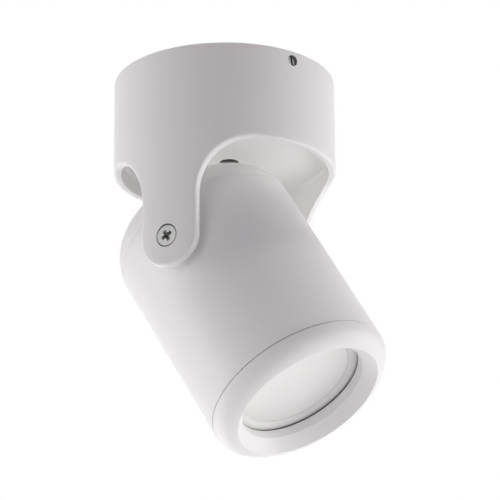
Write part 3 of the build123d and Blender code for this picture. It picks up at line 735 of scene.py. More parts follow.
def bare_metal(name, tint, dull, roughness, direction=(1, 1, 20)):
    """Plated or bare metal."""
    return new_material(name, shared(lines_group), {
        "Line Size": 0.0002, "Line Depth": 0.000004, "Direction": direction, "Colour": tint,
        "Dull Colour": dull, "Roughness": roughness, "Roughness Spread": 0.14}, 1.0)


def powder_coat(name="White powder coat"):
    """The white coat of the canopy, head and ring."""
    finish = bpy.context.scene.spotlight_finishes
    return grained(name, finish.coat, grain=0.0005, depth=0.000006, roughness=finish.coat_roughness,
                   mottle=0.03, patchy=0.02, rougher=0.08)


def canopy_coat():
    """The powder coat, with painted shade in the countersinks, bare metal in the tapped holes, and a grey
    painted shade deep inside.
    """
    finish, sizes = bpy.context.scene.spotlight_finishes, bpy.context.scene.spotlight_canopy
    screws = bpy.context.scene.spotlight_screws
    material = powder_coat("Canopy powder coat")
    tree = material.node_tree
    areas = wire(tree, "Group", node_tree=shared(uncoated_and_shade_group))
    for key, value in (("Outer Radius", sizes.radius), ("Pivot Drop", sizes.pivot_drop),
                       ("Sink Radius", countersink_radius() + MERGE),
                       ("Screw Direction", round_wall(1.0, screws.set_azimuth, 0.0)),
                       ("Screw Drop", screws.set_depth),
                       ("Screw Radius", screws.set_radius + SCREW_FIT + MERGE),
                       ("Inner Radius", sizes.radius - sizes.wall + WALL_MARGIN),
                       ("Floor", sizes.partition - sizes.partition_thickness + FLOOR_MARGIN)):
        areas.inputs[key].default_value = value
    base = tree.nodes["Principled BSDF"].inputs["Base Color"]
    coat = base.links[0].from_socket
    # Painted shade deep inside and in the countersinks; bare metal in the tapped holes.
    for mask, tint in (("Inner Painted Shade", finish.inner_painted_shade), ("Countersink Shade", finish.countersink_shade),
                       ("Tapped Hole", finish.tapped)):
        coat = blend(tree, areas.outputs[mask], coat, (*tint, 1.0))
    tree.links.new(coat, base)
    return material


# ---- canopy ----------------------------------------------------------

SCREW_FIT = 0.00005  # clearance round a set screw
HEAD_FIT = 0.00008  # clearance between a countersunk head and its cone
HEAD_LAND = 0.0002  # straight edge of a countersunk head
EAR_HOLE = 0.0021  # radius of an ear's hole behind its cone
SCREW_BORE = 0.00208  # radius of the holes through pads and bosses
QUARTER = 64  # points round a quarter of the tube
TIP, SIDE, ROOT, SKIRT = 28, 14, 44, 28  # steps along the parts of an ear's cut edge
CUT_STEPS, CORNER_STEPS = 4, 10  # round a cut edge or the rim, and round the partition's corner
UPPER_STEPS = 19  # from the ceiling down to the partition
HOLE_STEPS, TAPPED_STEPS = 32, 36  # down half a pivot hole, and round a set screw's hole
CONE_ROUNDS = 12  # steps that find where a cone meets the tube
SKIN_STEP = 0.0014  # between points on the tube's skin
ROW_SHARE = 0.866  # of that step between two rows of even triangles
CLEAR_SHARE = 0.55  # of that step kept free beside a border
FINEST = 1e-9  # what the triangulation tells apart
RIM_ROUND = 0.0004  # rounding of the rim on the ceiling
UPPER_RING, LOWER_RING = 0.008, 0.010  # from the bore in to the rings on the partition
MIDDLE = 0.016  # radius of the partition's part round the lead's hole
LEAD_SHARES = (0, 0.5, 0.97, 1)  # of the way from that part's rim in to the lead's hole
PAD_ROOT, PAD_ROUND = 0.0006, 0.0002  # how far a pad reaches into the wall; its edge
BOSS_FOOT, BOSS_EDGE = 0.0008, 0.0003  # the same for a terminal boss on the partition
PAD_STEPS, STUD_STEPS = 64, 40  # round a pad, and round a terminal boss
TERMINAL_BOSSES = (  # X, Y, radius, height and radius of the hole
    (-0.020, -0.005, 0.0035, 0.003, 0.00155),
    (-0.020, 0.005, 0.0035, 0.003, 0.00155),
    (0.020, 0.014, 0.0045, 0.005, 0.00205),
)


def countersink_radius():
    """Radius of the pivot hole's cone where it would meet a flat face level with the tube's side."""
    screws = bpy.context.scene.spotlight_screws
    return screws.pivot_head + screws.pivot_sink + HEAD_LAND + HEAD_FIT


def on_wall(radius, x, z):
    """The point of the tube's near side at this x and height."""
    return Vector((x, -math.sqrt(max(radius ** 2 - x ** 2, 0.0)), z))


def round_wall(radius, turn, z):
    """The point of the tube at this turn from +X, in radians."""
    return Vector((radius * math.cos(turn), radius * math.sin(turn), z))


def cut_edge(sizes, radius):
    """The cut wall's edge on a cylinder, from the near ear's tip to +X, with normals into the gap."""
    rows = []
    for x, z in arc((0, 0), sizes.ear, -90, 0, TIP):
        rows.append((on_wall(radius, x, z - sizes.pivot_drop), Vector((x, 0, z)).normalized()))
    root_x, root_z = sizes.ear + sizes.ear_blend, -sizes.skirt - sizes.ear_rise
    for z in spread(-sizes.pivot_drop, root_z, SIDE)[1:]:
        rows.append((on_wall(radius, sizes.ear, z), Vector((1, 0, 0))))
    for x, z in arc((0, 0), 1, 180, 90, ROOT)[1:]:
        rows.append((on_wall(radius, root_x + sizes.ear_blend * x, root_z + sizes.ear_rise * z),
                     Vector((-x * sizes.ear_rise, 0, -z * sizes.ear_blend)).normalized()))
    for turn in spread(-math.acos(root_x / radius), 0, SKIRT)[1:]:
        rows.append((round_wall(radius, turn, -sizes.skirt), Vector((0, 0, -1))))
    return rows


def rounded_edge(rows, radius, inwards, edge):
    """Points from the wall's skin, round the edge, to the cut face, for each point of the edge."""
    points = [p for p, _ in rows]
    ends = {0: Vector((1, 0, 0)), len(rows) - 1: Vector((0, 1, 0))}
    bands = []
    for i, (point, gap) in enumerate(rows):
        along = ends.get(i) or (points[i + 1] - points[i - 1]).normalized()
        outward = Vector((point.x, point.y, 0)).normalized()
        into_skin = outward.cross(along).normalized()
        if into_skin.dot(gap) > 0:
            into_skin.negate()
        into_face = gap.cross(along).normalized()
        if into_face.dot(outward) * inwards > 0:
            into_face.negate()
        skin = point + into_skin * edge
        flat = Vector((skin.x, skin.y, 0)).normalized() * radius
        skin = Vector((flat.x, flat.y, skin.z)) if i else Vector((0.0, -radius, skin.z))
        bands.append(bend(skin, point, point + into_face * edge, CUT_STEPS))
    return bands


def inside_loop(loop, spots):
    """Which spots lie inside a closed loop, by crossings."""
    found = []
    for u, v in spots:
        within = False
        for (u0, v0), (u1, v1) in zip(loop, loop[1:] + loop[:1]):
            if (v0 > v) != (v1 > v) and u < (u1 - u0) * (v - v0) / (v1 - v0) + u0:
                within = not within
        found.append(within)
    return found


def inside_border(loops, spots):
    """Which spots lie inside the first loop and outside all the others."""
    found = inside_loop(loops[0], spots)
    for hole in loops[1:]:
        found = [a and not b for a, b in zip(found, inside_loop(hole, spots))]
    return found


def skin_patch(surface, radius, border, holes, flips):
    """Even triangles over part of the tube's skin, inside its border and outside its holes."""
    loops = [border, *holes]
    unrolled = [[(radius * math.atan2(p.y, p.x), p.z) for p in loop] for loop in loops]
    fixed = [p for loop in loops for p in loop]
    flat = [Vector(q) for loop in unrolled for q in loop]
    edges = []
    for loop in loops:
        start, n = len(edges), len(loop)
        edges += [(start + i, start + (i + 1) % n) for i in range(n)]
    low_u, high_u = min(q.x for q in flat), max(q.x for q in flat)
    low_v, high_v = min(q.y for q in flat), max(q.y for q in flat)
    grid = [(low_u + (i + 0.5 * (j % 2)) * SKIN_STEP, low_v + j * SKIN_STEP * ROW_SHARE)
            for j in range(1, int((high_v - low_v) / (SKIN_STEP * ROW_SHARE)))
            for i in range(1, int((high_u - low_u) / SKIN_STEP) + 1)]
    cells = {}
    for q in flat:
        cells.setdefault((int(q.x // SKIN_STEP), int(q.y // SKIN_STEP)), []).append(q)
    spots = []
    for (u, v), kept in zip(grid, inside_border(unrolled, grid)):
        column, row = int(u // SKIN_STEP), int(v // SKIN_STEP)
        near = [q for a in (-1, 0, 1) for b in (-1, 0, 1) for q in cells.get((column + a, row + b), ())]
        if kept and all((q.x - u) ** 2 + (q.y - v) ** 2 > (CLEAR_SHARE * SKIN_STEP) ** 2 for q in near):
            spots.append(Vector((u, v)))
    points, _, faces, origin, _, _ = delaunay_2d_cdt(flat + spots, edges, [], 0, FINEST)
    placed = [fixed[sources[0]] if sources and sources[0] < len(fixed)
              else round_wall(radius, point.x / radius, point.y)
              for point, sources in zip(points, origin)]
    middles = [tuple(sum((points[i] for i in face), Vector((0, 0))) / len(face)) for face in faces]
    chosen = [face for face, kept in zip(faces, inside_border(unrolled, middles)) if kept]
    surface.add(placed, chosen, flips)


def pivot_loop(sizes, radius, hole, cone_face=None):
    """The half of the pivot hole that lies at x above 0, from its top to its bottom."""
    loop = []
    for a in spread(90, -90, HOLE_STEPS):
        reach = hole
        # A cone's reach depends on the wall's depth there, so it is found step by step.
        for _ in range(CONE_ROUNDS if cone_face else 0):
            reach = hole - (cone_face - math.sqrt(radius ** 2 - polar(reach, a)[0] ** 2))
        x, z = polar(reach, a)
        loop.append(on_wall(radius, max(x, 0.0) if abs(a) < 90 else 0.0, z - sizes.pivot_drop))
    return loop


def set_screw_loop(screws, radius):
    """The set screw's hole where it meets the tube, with a close fit."""
    hole = screws.set_radius + SCREW_FIT
    loop = []
    for i in range(TAPPED_STEPS):
        a = 2 * math.pi * i / TAPPED_STEPS
        aside = hole * math.cos(a)
        turn = screws.set_azimuth + math.atan2(aside, math.sqrt(radius ** 2 - aside ** 2))
        loop.append(round_wall(radius, turn, -screws.set_depth + hole * math.sin(a)))
    return loop


def upright(radius, turn, start, end, fewest=1):
    """Points up or down the tube's skin, after the first."""
    count = max(fewest, round(abs(end - start) / SKIN_STEP))
    return [round_wall(radius, turn, z) for z in spread(start, end, count)[1:]]


class SPOTLIGHT_OT_canopy(bpy.types.Operator):
    """Build the canopy: tube, partition, ears cut from the wall, countersinks, pads and bosses"""
    bl_idname = "spotlight.canopy"
    bl_label = "Canopy"

    def execute(self, context):
        sizes, screws = context.scene.spotlight_canopy, context.scene.spotlight_screws
        outer, bore = sizes.radius, sizes.radius - sizes.wall
        under, floor = -sizes.partition, -sizes.partition + sizes.partition_thickness
        blend_low = under - sizes.partition_blend
        turns = spread(0, -math.pi / 2, QUARTER)
        surface = Surface()
        # The wall's cut edges.
        outside = rounded_edge(cut_edge(sizes, outer), outer, 1, sizes.edge_round)
        inside = rounded_edge(cut_edge(sizes, bore), bore, -1, sizes.edge_inner)
        surface.sheet([a + list(reversed(b)) for a, b in zip(outside, inside)], ALL_QUARTERS)

        # The pivot holes, then the set screws' holes and the skins outside and inside.
        sink = countersink_radius()
        cone_outer, bore_inner = pivot_loop(sizes, outer, sink, outer), pivot_loop(sizes, bore, EAR_HOLE)
        throat = [Vector((p.x, -(outer - (sink - EAR_HOLE)), p.z)) for p in bore_inner]
        surface.sheet([cone_outer, throat, bore_inner], ALL_QUARTERS)

        screw_out, screw_in = (set_screw_loop(screws, r) for r in (outer, bore))
        for bands, radius, top, hole, taps in ((outside, outer, -RIM_ROUND, cone_outer, [screw_out]),
                                               (inside, bore, blend_low, bore_inner, [])):
            edge = [band[0] for band in bands]
            border = (edge + upright(radius, 0, edge[-1].z, top, 2)
                      + [round_wall(radius, t, top) for t in turns[1:]]
                      + upright(radius, -math.pi / 2, top, hole[0].z)[:-1] + hole
                      + upright(radius, -math.pi / 2, hole[-1].z, edge[0].z)[:-1])
            skin_patch(surface, radius, border, taps, SCREWED)
            skin_patch(surface, radius, border, [], PLAIN)
        surface.sheet([screw_out + screw_out[:1], screw_in + screw_in[:1]], SCREWED)

        # The skin over the partition, as far as the ceiling.
        sides = spread(0, floor, UPPER_STEPS)
        upper = ([round_wall(bore, 0, z) for z in sides] + [round_wall(bore, t, floor) for t in turns[1:]]
                 + [round_wall(bore, -math.pi / 2, z) for z in reversed(sides[:-1])]
                 + [round_wall(bore, t, 0) for t in reversed(turns[1:-1])])
        skin_patch(surface, bore, upper, [screw_in], SCREWED)
        skin_patch(surface, bore, upper, [], PLAIN)

        # The rim, both faces of the partition, its corner below, and the lead's hole.
        centre = bore - sizes.partition_blend
        rim = [(outer - RIM_ROUND + RIM_ROUND * math.cos(a), -RIM_ROUND + RIM_ROUND * math.sin(a))
               for a in spread(0, math.pi / 2, CUT_STEPS)] + [(bore, 0)]
        corner = [(centre + sizes.partition_blend * math.sin(a),
                   blend_low + sizes.partition_blend * math.cos(a))
                  for a in spread(0, math.pi / 2, CORNER_STEPS)]
        for rings in (rim, [(bore, floor), (bore - UPPER_RING, floor), (MIDDLE, floor)],
                      [(MIDDLE, under), (bore - LOWER_RING, under)] + corner):
            surface.sheet([[round_wall(r, t, z) for t in turns] for r, z in rings], ALL_QUARTERS)
        hole = Vector((sizes.lead_x, sizes.lead_y, 0))
        all_round = [turns[1] * i for i in range(4 * QUARTER + 1)]
        surface.sheet([[round_wall(MIDDLE, t, z) * (1 - k)
                        + (round_wall(sizes.lead_hole, t, z) + hole) * k for t in all_round]
                       for z, shares in ((floor, LEAD_SHARES), (under, LEAD_SHARES[::-1]))
                       for k in shares])

        # The bearing pads, and the bosses for the terminals' and the earth screws.
        pad, foot = bore - sizes.pad_height, bore + PAD_ROOT
        outline = rounded(oblong(SCREW_BORE, sizes.pad_radius, pad, foot), {1: PAD_ROUND})
        for side in (-1, 1):
            surface.lathe(outline, ear_frame(side), PAD_STEPS)
        foot = floor - BOSS_FOOT
        for x, y, radius, height, hole in TERMINAL_BOSSES:
            outline = rounded(oblong(hole, radius, foot, floor + height), {2: BOSS_EDGE})
            surface.lathe(outline, Matrix.Translation((x, y, 0)), STUD_STEPS)
        mesh = surface.mesh("canopy_shell")
        mesh.materials.append(canopy_coat())
        take_place(add_object("canopy_shell", mesh), "base", "white_powder_coat", "canopy")
        return {"FINISHED"}


# ---- head and front ring ---------------------------------------------

ROUND_STEPS, GASKET_STEPS = 224, 160  # round the head and the front ring, and round the gasket
REAR_STEPS, INSIDE_STEPS = 28, 20  # along the rounded end, outside and inside
SIDE_OUT, SIDE_IN = 24, 20  # along the straight side, outside and inside
NOSE_STEPS = 26  # along the ring's rounded outside
BOSS_TOOL, BORE_TOOL = 96, 70  # steps round the tools; unlike, so that the cut mesh stays closed
SEAM_EDGE = 0.0002  # softened edges at the seam, and the lip past the crease
HEAD_SOFT = 0.00005  # the head's edge there, in from its outside and its end
RING_SOFT = (0.00002, 0.00008)  # the ring's edge, in from its outside and from its end
CREASE_LEAD = 0.6  # degrees of the rounded end that the crease takes
CREASE_LIP = (0.00004, 0.00013)  # depth and length of the crease's other side
CHAMFER = 0.0003  # on the ends of threads
BOSS_ROOT, BOSS_ROUND = 0.0014, 0.00025  # how far a boss reaches into the wall; its edge
BORE_ENDS = (0.020, 0.045)  # of the bores along the pivot axis
HEAD_THREAD = (0.0015, 3.3)  # where it starts from the shoulder; turns
NECK_THREAD = (0.00075, 2.9)  # where it starts from the neck's back; turns
BEAD_ROUND = 0.00015  # on the back of the bead behind the opening
GASKET_FIT = (0.0001, 0.0005)  # off the neck, and off the opening's edge
GASKET_ROUND = 0.0002  # on its four edges


class SPOTLIGHT_OT_head(bpy.types.Operator):
    """Turn the head's housing, with its bearing bosses and the thread in its mouth"""
    bl_idname = "spotlight.head"
    bl_label = "Head"

    def execute(self, context):
        sizes, ring = context.scene.spotlight_head, context.scene.spotlight_ring
        radius, bore, rear = sizes.radius, sizes.radius - sizes.wall, -sizes.rear
        corner = (radius - sizes.rear_round, rear + sizes.rear_round)
        root = sizes.thread_crest + ring.thread_depth
        shoulder = sizes.mouth - sizes.thread_length
        gap, gap_floor = sizes.mouth - sizes.seam_gap, radius - sizes.seam_depth
        turn = -math.degrees(math.asin((sizes.crease + corner[1]) / sizes.rear_round))
        outline = [
            (sizes.grommet_hole, rear + sizes.wall), (sizes.grommet_hole, rear), (corner[0] / 2, rear),
            *arc(corner, sizes.rear_round, -90, turn - CREASE_LEAD, REAR_STEPS),
            (radius - sizes.crease_depth, -sizes.crease),
            (radius - CREASE_LIP[0], CREASE_LIP[1] - sizes.crease),
            *((radius, s) for s in spread(SEAM_EDGE - sizes.crease, gap - SEAM_EDGE, SIDE_OUT)),
            (radius - HEAD_SOFT, gap - HEAD_SOFT), (radius - SEAM_EDGE, gap),
            (gap_floor, gap), (gap_floor, sizes.mouth),
            (root + CHAMFER, sizes.mouth), (root, sizes.mouth - CHAMFER), (root, shoulder),
            *((bore, s) for s in spread(shoulder, corner[1], SIDE_IN)),
            *arc(corner, sizes.rear_round - sizes.wall, 0, -90, INSIDE_STEPS)[1:],
            (corner[0] / 2, rear + sizes.wall),
        ]
        coat = shared(powder_coat)
        piece = turned_part("head_shell", outline, coat, ROUND_STEPS)

        boss_ends = (bore - BOSS_ROOT, sizes.boss_face)
        for name, size_out, (low, high), trim, steps, operation in (
                ("boss", sizes.boss_radius, boss_ends, {2: BOSS_ROUND}, BOSS_TOOL, "UNION"),
                ("bore", SCREW_BORE, BORE_ENDS, {}, BORE_TOOL, "DIFFERENCE")):
            outline = rounded(oblong(0, size_out, low, high), trim)
            cut(piece, [lathed(name, outline, ear_frame(side), steps) for side in (-1, 1)], operation)
        close_up(piece.data)
        piece = add_thread(piece, sizes.thread_crest, root, shoulder + HEAD_THREAD[0], HEAD_THREAD[1],
                           coat)
        take_place(piece, "head", "white_powder_coat", "head_housing")
        return {"FINISHED"}


class SPOTLIGHT_OT_ring(bpy.types.Operator):
    """Turn the front ring with its threaded neck, and the gasket behind it"""
    bl_idname = "spotlight.ring"
    bl_label = "Front ring"

    def execute(self, context):
        sizes, head = context.scene.spotlight_ring, context.scene.spotlight_head
        seam, gap, gap_floor = head.mouth, head.mouth + head.seam_gap, head.radius - head.seam_depth
        root = sizes.thread_crest - sizes.thread_depth
        neck = sizes.thread_crest - sizes.thread_wall
        back = seam - sizes.thread_length
        nose = bulge((head.radius, seam), (sizes.lip_radius, seam + sizes.length), sizes.nose_radius,
                     NOSE_STEPS)
        nose[0] = (nose[0][0] - SEAM_EDGE, gap)
        nose.insert(1, (nose[0][0] + SEAM_EDGE - RING_SOFT[0], gap + RING_SOFT[1]))
        bead = (sizes.bore_radius + sizes.bead_width, seam - sizes.bead_length)
        outline = nose + [(sizes.bore_radius, seam + sizes.bore_length), (sizes.bore_radius, bead[1]),
                          bead, (bead[0], seam), (neck, seam), (neck, back), (root, back), (root, seam),
                          (gap_floor, seam), (gap_floor, gap)]
        last = len(nose) - 1
        outline = rounded(outline, {last: sizes.lip_round, last + 1: sizes.lip_round,
                                    last + 2: BEAD_ROUND, last + 6: CHAMFER, last + 7: CHAMFER}, 5)
        coat = shared(powder_coat)
        piece = turned_part("front_ring_turned", outline, coat, ROUND_STEPS)
        piece = add_thread(piece, sizes.thread_crest, root, back + NECK_THREAD[0], NECK_THREAD[1], coat)
        take_place(piece, "ring", "white_powder_coat", "front_ring")

        finish, low = context.scene.spotlight_finishes, context.scene.spotlight_lamp.rim_face
        rubber = grained("Black rubber", finish.gasket, grain=0.0003, depth=0.000008, roughness=0.55,
                         rougher=0.1)
        outside, inside = neck - GASKET_FIT[0], sizes.bore_radius + GASKET_FIT[1]
        outline = rounded(oblong(inside, outside, low, seam), dict.fromkeys(range(4), GASKET_ROUND), 3)
        take_place(turned_part("gasket_ring", outline, rubber, GASKET_STEPS), "gasket",
                   "gasket_rubber", "lamp_gasket")
        return {"FINISHED"}


# ---- lamp ------------------------------------------------------------

LAMP_STEPS = 176  # round the lamp
FLARE_PULLS = ((0.33, 0.944), (0.119, 0.993))  # the flare's direction at its foot and its rim
FLARE_STEPS = 24  # along the flare, and along the lens's crown
FLARE_FREE = 4  # of those points that the inside leaves out, below the rim
RIM_CORNER, CORNER_POINTS = 0.001, 6  # rounding of the rim's outer edge, and its steps
# The rim's slope down to the lens: out from the lens's edge, and behind the rim's face.
RIM_SLOPE = ((0.0022, 0.00006), (0.0014, 0.00022), (0.0006, 0.00056), (0.0, 0.00092))
LENS_LEDGE = 0.0016  # ledge behind the lens
CROWN_END = 0.985  # of the lens's radius, where its crown gives way to its edge
LENS_EDGE = 0.0002  # part of the lens's crown that is in its edge
LENS_RIDGE = ((0.00008, 0.00001), (0.00002, 0.00006))  # the edge's softening: in, and back


class SPOTLIGHT_OT_lamp(bpy.types.Operator):
    """Turn the lamp's body and its frosted lens"""
    bl_idname = "spotlight.lamp"
    bl_label = "Lamp"

    def execute(self, context):
        sizes, finish = context.scene.spotlight_lamp, context.scene.spotlight_finishes
        face, radius, lens = sizes.rim_face, sizes.radius, sizes.lens_radius
        lens_front = face - sizes.lens_recess
        lens_back = lens_front - sizes.lens_thickness
        foot = Vector((sizes.cap_radius, sizes.cap_top))
        rim_back = Vector((radius, face - sizes.rim_length))
        lead, follow = (Vector(pull) * ((rim_back - foot).length / 3) for pull in FLARE_PULLS)
        flare = [tuple(foot * (1 - t) ** 3 + (foot + lead) * 3 * t * (1 - t) ** 2
                       + (rim_back - follow) * 3 * t * t * (1 - t) + rim_back * t ** 3)
                 for t in spread(0, 1, FLARE_STEPS)]
        outline = [*flare, (radius, face - RIM_CORNER),
                   *arc((radius - RIM_CORNER, face - RIM_CORNER), RIM_CORNER, 0, 90, CORNER_POINTS)[1:],
                   *((lens + out, face - down) for out, down in RIM_SLOPE),
                   (lens, lens_back), (lens - LENS_LEDGE, lens_back),
                   *((r - sizes.wall, s) for r, s in reversed(flare[:-FLARE_FREE]))]
        body = grained("Satin lamp white", finish.lamp, grain=0.0008, depth=0.000003, roughness=0.30,
                       rougher=0.05)
        take_place(turned_part("lamp_body", outline, body, LAMP_STEPS), "lamp", "lamp_white",
                   "lamp_housing")

        edge = lens_front + LENS_EDGE
        outline = [*((lens * t, edge + (sizes.lens_crown - LENS_EDGE) * (1 - t ** 4))
                     for t in spread(0, CROWN_END, FLARE_STEPS)),
                   *((lens - step, edge - down) for step, down in LENS_RIDGE),
                   (lens - LENS_RIDGE[1][0], lens_back), (0, lens_back)]
        frost = grained("Frosted lens", finish.lens, grain=0.00035, depth=0.000006, roughness=0.34,
                        rougher=0.08)
        take_place(turned_part("lamp_front", outline, frost, LAMP_STEPS), "lamp", "frosted_diffuser",
                   "lamp_lens")
        return {"FINISHED"}


# ---- fixings ---------------------------------------------------------

PIVOT_STEPS, SET_STEPS = 96, 72  # round a pivot screw, and round a set screw
GROOVE = 0.0007  # from one groove of a thread to the next
FIRST_GROOVE = (0.0012, 0.0005)  # behind a pivot screw's head, and behind a set screw's end
LAST_GROOVE = (0.0008, 0.0004)  # in front of a pivot screw's tip, and of a set screw's
TIP_CHAMFER = (0.0005, 0.0003)  # on a pivot screw's tip, and on a set screw's two ends
HEAD_ROUND = 0.00008  # on the edge of a countersunk head
CROSS_ROWS = (  # a wing of the cross: height, half its length, half its width
    (0.0003, 0.0022, 0.00072),
    (0.0, 0.0021, 0.00068),
    (-0.0014, 0.0015, 0.00052),
    (-0.0026, 0.0008, 0.00034),
)
CROSS_ROUND = 0.6  # rounding of a wing's corners, as a share of half its width
OVERCUT = 0.001  # how far the slot's tool stands out of its screw


def grooves(radius, start, stop, depth):
    """The outline of a screw's grooves, from start back to stop."""
    outline = []
    while start - GROOVE > stop:
        outline += [(radius, start), (radius - depth, start - GROOVE / 2), (radius, start - GROOVE)]
        start -= GROOVE
    return outline


def screw_pair(name, outline, place, steps, tools, material):
    """Turn a screw, cut its recess, and set it on both sides as one object."""
    screw = lathed(name, outline, place, steps)
    cut(screw, tools, "DIFFERENCE")
    close_up(screw.data)
    return shared(both_sides_tree).run_on(screw, {"Material": material})


class SPOTLIGHT_OT_pivot_screws(bpy.types.Operator):
    """Countersunk cross-recess screws, one through each ear"""
    bl_idname = "spotlight.pivot_screws"
    bl_label = "Pivot screws"

    def execute(self, context):
        sizes = context.scene.spotlight_screws
        face = context.scene.spotlight_canopy.radius - sizes.pivot_sink
        tip = face - sizes.pivot_length
        head, shank, chamfer = sizes.pivot_head, sizes.pivot_radius, TIP_CHAMFER[0]
        under = face - HEAD_LAND - (head - shank)
        outline = [(0, face), (head, face), (head, face - HEAD_LAND), (shank, under),
                   *grooves(shank, under - FIRST_GROOVE[0], tip + LAST_GROOVE[0], GROOVE / 2),
                   (shank, tip + chamfer), (shank - chamfer, tip), (0, tip)]
        near = ear_frame(-1)
        wings = []
        for quarter in (0, 1):
            place = near @ Matrix.Rotation(sizes.cross_turn + quarter * math.pi / 2, 4, "Z")
            rows = []
            for height, half, thick in CROSS_ROWS:
                corners = rounded(oblong(-half, half, -thick, thick),
                                  dict.fromkeys(range(4), thick * CROSS_ROUND), 3)
                rows.append([place @ Vector((x, y, face + height)) for x, y in corners])
            wings.append(prism("wing", rows))
        nickel = bare_metal("Satin nickel plate", (0.46, 0.465, 0.455), (0.35, 0.355, 0.35),
                            roughness=0.36, direction=(1, 12, 1))
        pair = screw_pair("pivot_screw_pair", rounded(outline, {1: HEAD_ROUND}, 3), near,
                          PIVOT_STEPS, wings, nickel)
        take_place(pair, "head", "screw_steel", "pivot_screws")
        return {"FINISHED"}


class SPOTLIGHT_OT_set_screws(bpy.types.Operator):
    """Slotted set screws that hold the canopy on its plate"""
    bl_idname = "spotlight.set_screws"
    bl_label = "Set screws"

    def execute(self, context):
        sizes = context.scene.spotlight_screws
        face = context.scene.spotlight_canopy.radius - sizes.set_recess
        tip = face - sizes.set_length
        radius, chamfer = sizes.set_radius, TIP_CHAMFER[1]
        place = (Matrix.Translation((0, 0, -sizes.set_depth))
                 @ Matrix.Rotation(sizes.set_azimuth, 4, "Z") @ Matrix.Rotation(math.pi / 2, 4, "Y"))
        outline = [(0, face), (radius - chamfer, face), (radius, face - chamfer),
                   *grooves(radius, face - FIRST_GROOVE[1], tip + LAST_GROOVE[1], chamfer),
                   (radius, tip + chamfer), (radius - chamfer, tip), (0, tip)]
        left, right = (sizes.slot_place + side * sizes.slot_width / 2 for side in (-1, 1))
        reach = radius + OVERCUT
        turned = place @ Matrix.Rotation(sizes.slot_turn, 4, "Z")
        corners = oblong(left, right, -reach, reach)
        slot = prism("slot", [[turned @ Vector((v, u, height)) for u, v in corners]
                              for height in (face - sizes.slot_depth, face + OVERCUT)])
        steel = bare_metal("Dark steel", (0.42, 0.43, 0.43), (0.22, 0.225, 0.23), roughness=0.20)
        pair = screw_pair("set_screw_pair", outline, place, SET_STEPS, [slot], steel)
        take_place(pair, "base", "blackened_steel", "canopy_set_screws")
        return {"FINISHED"}


METALS = (  # name, colour, dull colour, roughness, lines' direction; nodes
    (("Bright zinc plate", (0.64, 0.65, 0.67), (0.50, 0.52, 0.55), 0.30, (2, 18, 2)),
     ("ceiling_plate", "lampholder_bracket", "spring_washers", "pivot_nuts", "terminal_screws",
      "terminal_fixing_screws", "earth_screw", "lampholder_screws")),
    (("Brass", (0.72, 0.53, 0.24), (0.58, 0.41, 0.18), 0.26), ("terminal_tubes", "earth_washer")),
    (("Nickel plate", (0.68, 0.66, 0.61), (0.56, 0.54, 0.50), 0.2), ("lamp_pins", "lampholder_contacts")),
)
MOULDED = (  # name, colour, grain, depth, roughness, mottle, patchy; node
    (("Natural nylon", (0.80, 0.79, 0.73), 0.0007, 0.000008, 0.40), "friction_washers"),
    (("Unglazed ceramic", (0.79, 0.76, 0.68), 0.0004, 0.00002, 0.62, 0.006, 0.08), "lampholder"),
    (("Terminal polyamide", (0.76, 0.74, 0.66), 0.0009, 0.000012, 0.46), "terminal_block"),
    (("Mica sheet", (0.48, 0.41, 0.30), 0.0012, 0.00002, 0.35, 0.003, 0.3), "lampholder_insulator"),
    (("White silicone rubber", (0.70, 0.70, 0.68), 0.0005, 0.00001, 0.58), "rear_grommet"),
    (("Lamp cap white", (0.80, 0.80, 0.79), 0.0009, 0.000006, 0.33), "lamp_cap"),
    (("White solder mask", (0.78, 0.80, 0.79), 0.0015, 0.000006, 0.28), "led_board"),
    (("Green solder mask", (0.030, 0.16, 0.060), 0.0015, 0.000008, 0.25, 0.004, 0.25), "driver_board"),
    (("Phosphor gel", (0.78, 0.58, 0.10), 0.0004, 0.000015, 0.22), "led_chips"),
    (("Shrink sleeve", (0.015, 0.018, 0.030), 0.0006, 0.000006, 0.30), "driver_capacitor"),
)


class SPOTLIGHT_OT_inner_finishes(bpy.types.Operator):
    """Finish the packed pieces inside: plate, terminals, lampholder, boards, washers and nuts"""
    bl_idname = "spotlight.inner_finishes"
    bl_label = "Inner pieces"

    def execute(self, context):
        finishes = [(bare_metal(*look), nodes) for look, nodes in METALS]
        finishes += [(grained(*look), (node,)) for look, node in MOULDED]
        for material, nodes in finishes:
            for node in nodes:
                for slot in frame["nodes"][node].material_slots:
                    slot.material = material
        return {"FINISHED"}


# ---- studio ----------------------------------------------------------

CAMERA_PLACE = (0.50608787, -0.85486591, -0.42845743)
CAMERA_RIGHT = (0.86364179, 0.50405179, -0.00739225)
CAMERA_UP = (0.17985589, -0.29439963, 0.93860573)
CAMERA_AHEAD = (-0.47092963, 0.81194867, 0.34491251)
CAMERA_LENS, CAMERA_FRAME = 213.246, 36.0  # the lens, and the frame's width, in millimetres
CAMERA_NEAREST = 0.05  # the camera draws nothing nearer than this
AIM = (0.012, 0, -0.072)  # where the lamps point
LAMP_DISTANCE = 0.9
LAMP_SIZE = 0.45
OVERHEAD_HEIGHT = 2.0  # of the lamp over the light, which brightens the floor
OVERHEAD_WATTS = 13.2
FLOOR_HALF = 3.0  # half the floor's side
FLOOR_WHITE = 0.5  # part of plain white in the floor that the camera sees
SOFT_LAMPS = (  # where the camera sees it: right, up and near; then watts
    ("left side", (-1.0, 0.0, -0.1), 1.70),
    ("right side", (1.0, 0.0, -0.1), 2.65),
    ("left low", (-0.86, -0.5, -0.1), 1.58),
    ("right low", (0.86, -0.5, -0.1), 0.94),
    ("right low front", (0.81, -0.47, 0.35), 1.05),
    ("front right", (0.57, -0.33, 0.75), 0.61),
    ("front left", (-0.57, 0.33, 0.75), 0.98),
    ("left low back", (-0.42, -0.72, -0.55), 1.55),
    ("right low back", (0.42, -0.72, -0.55), 0.90),
)


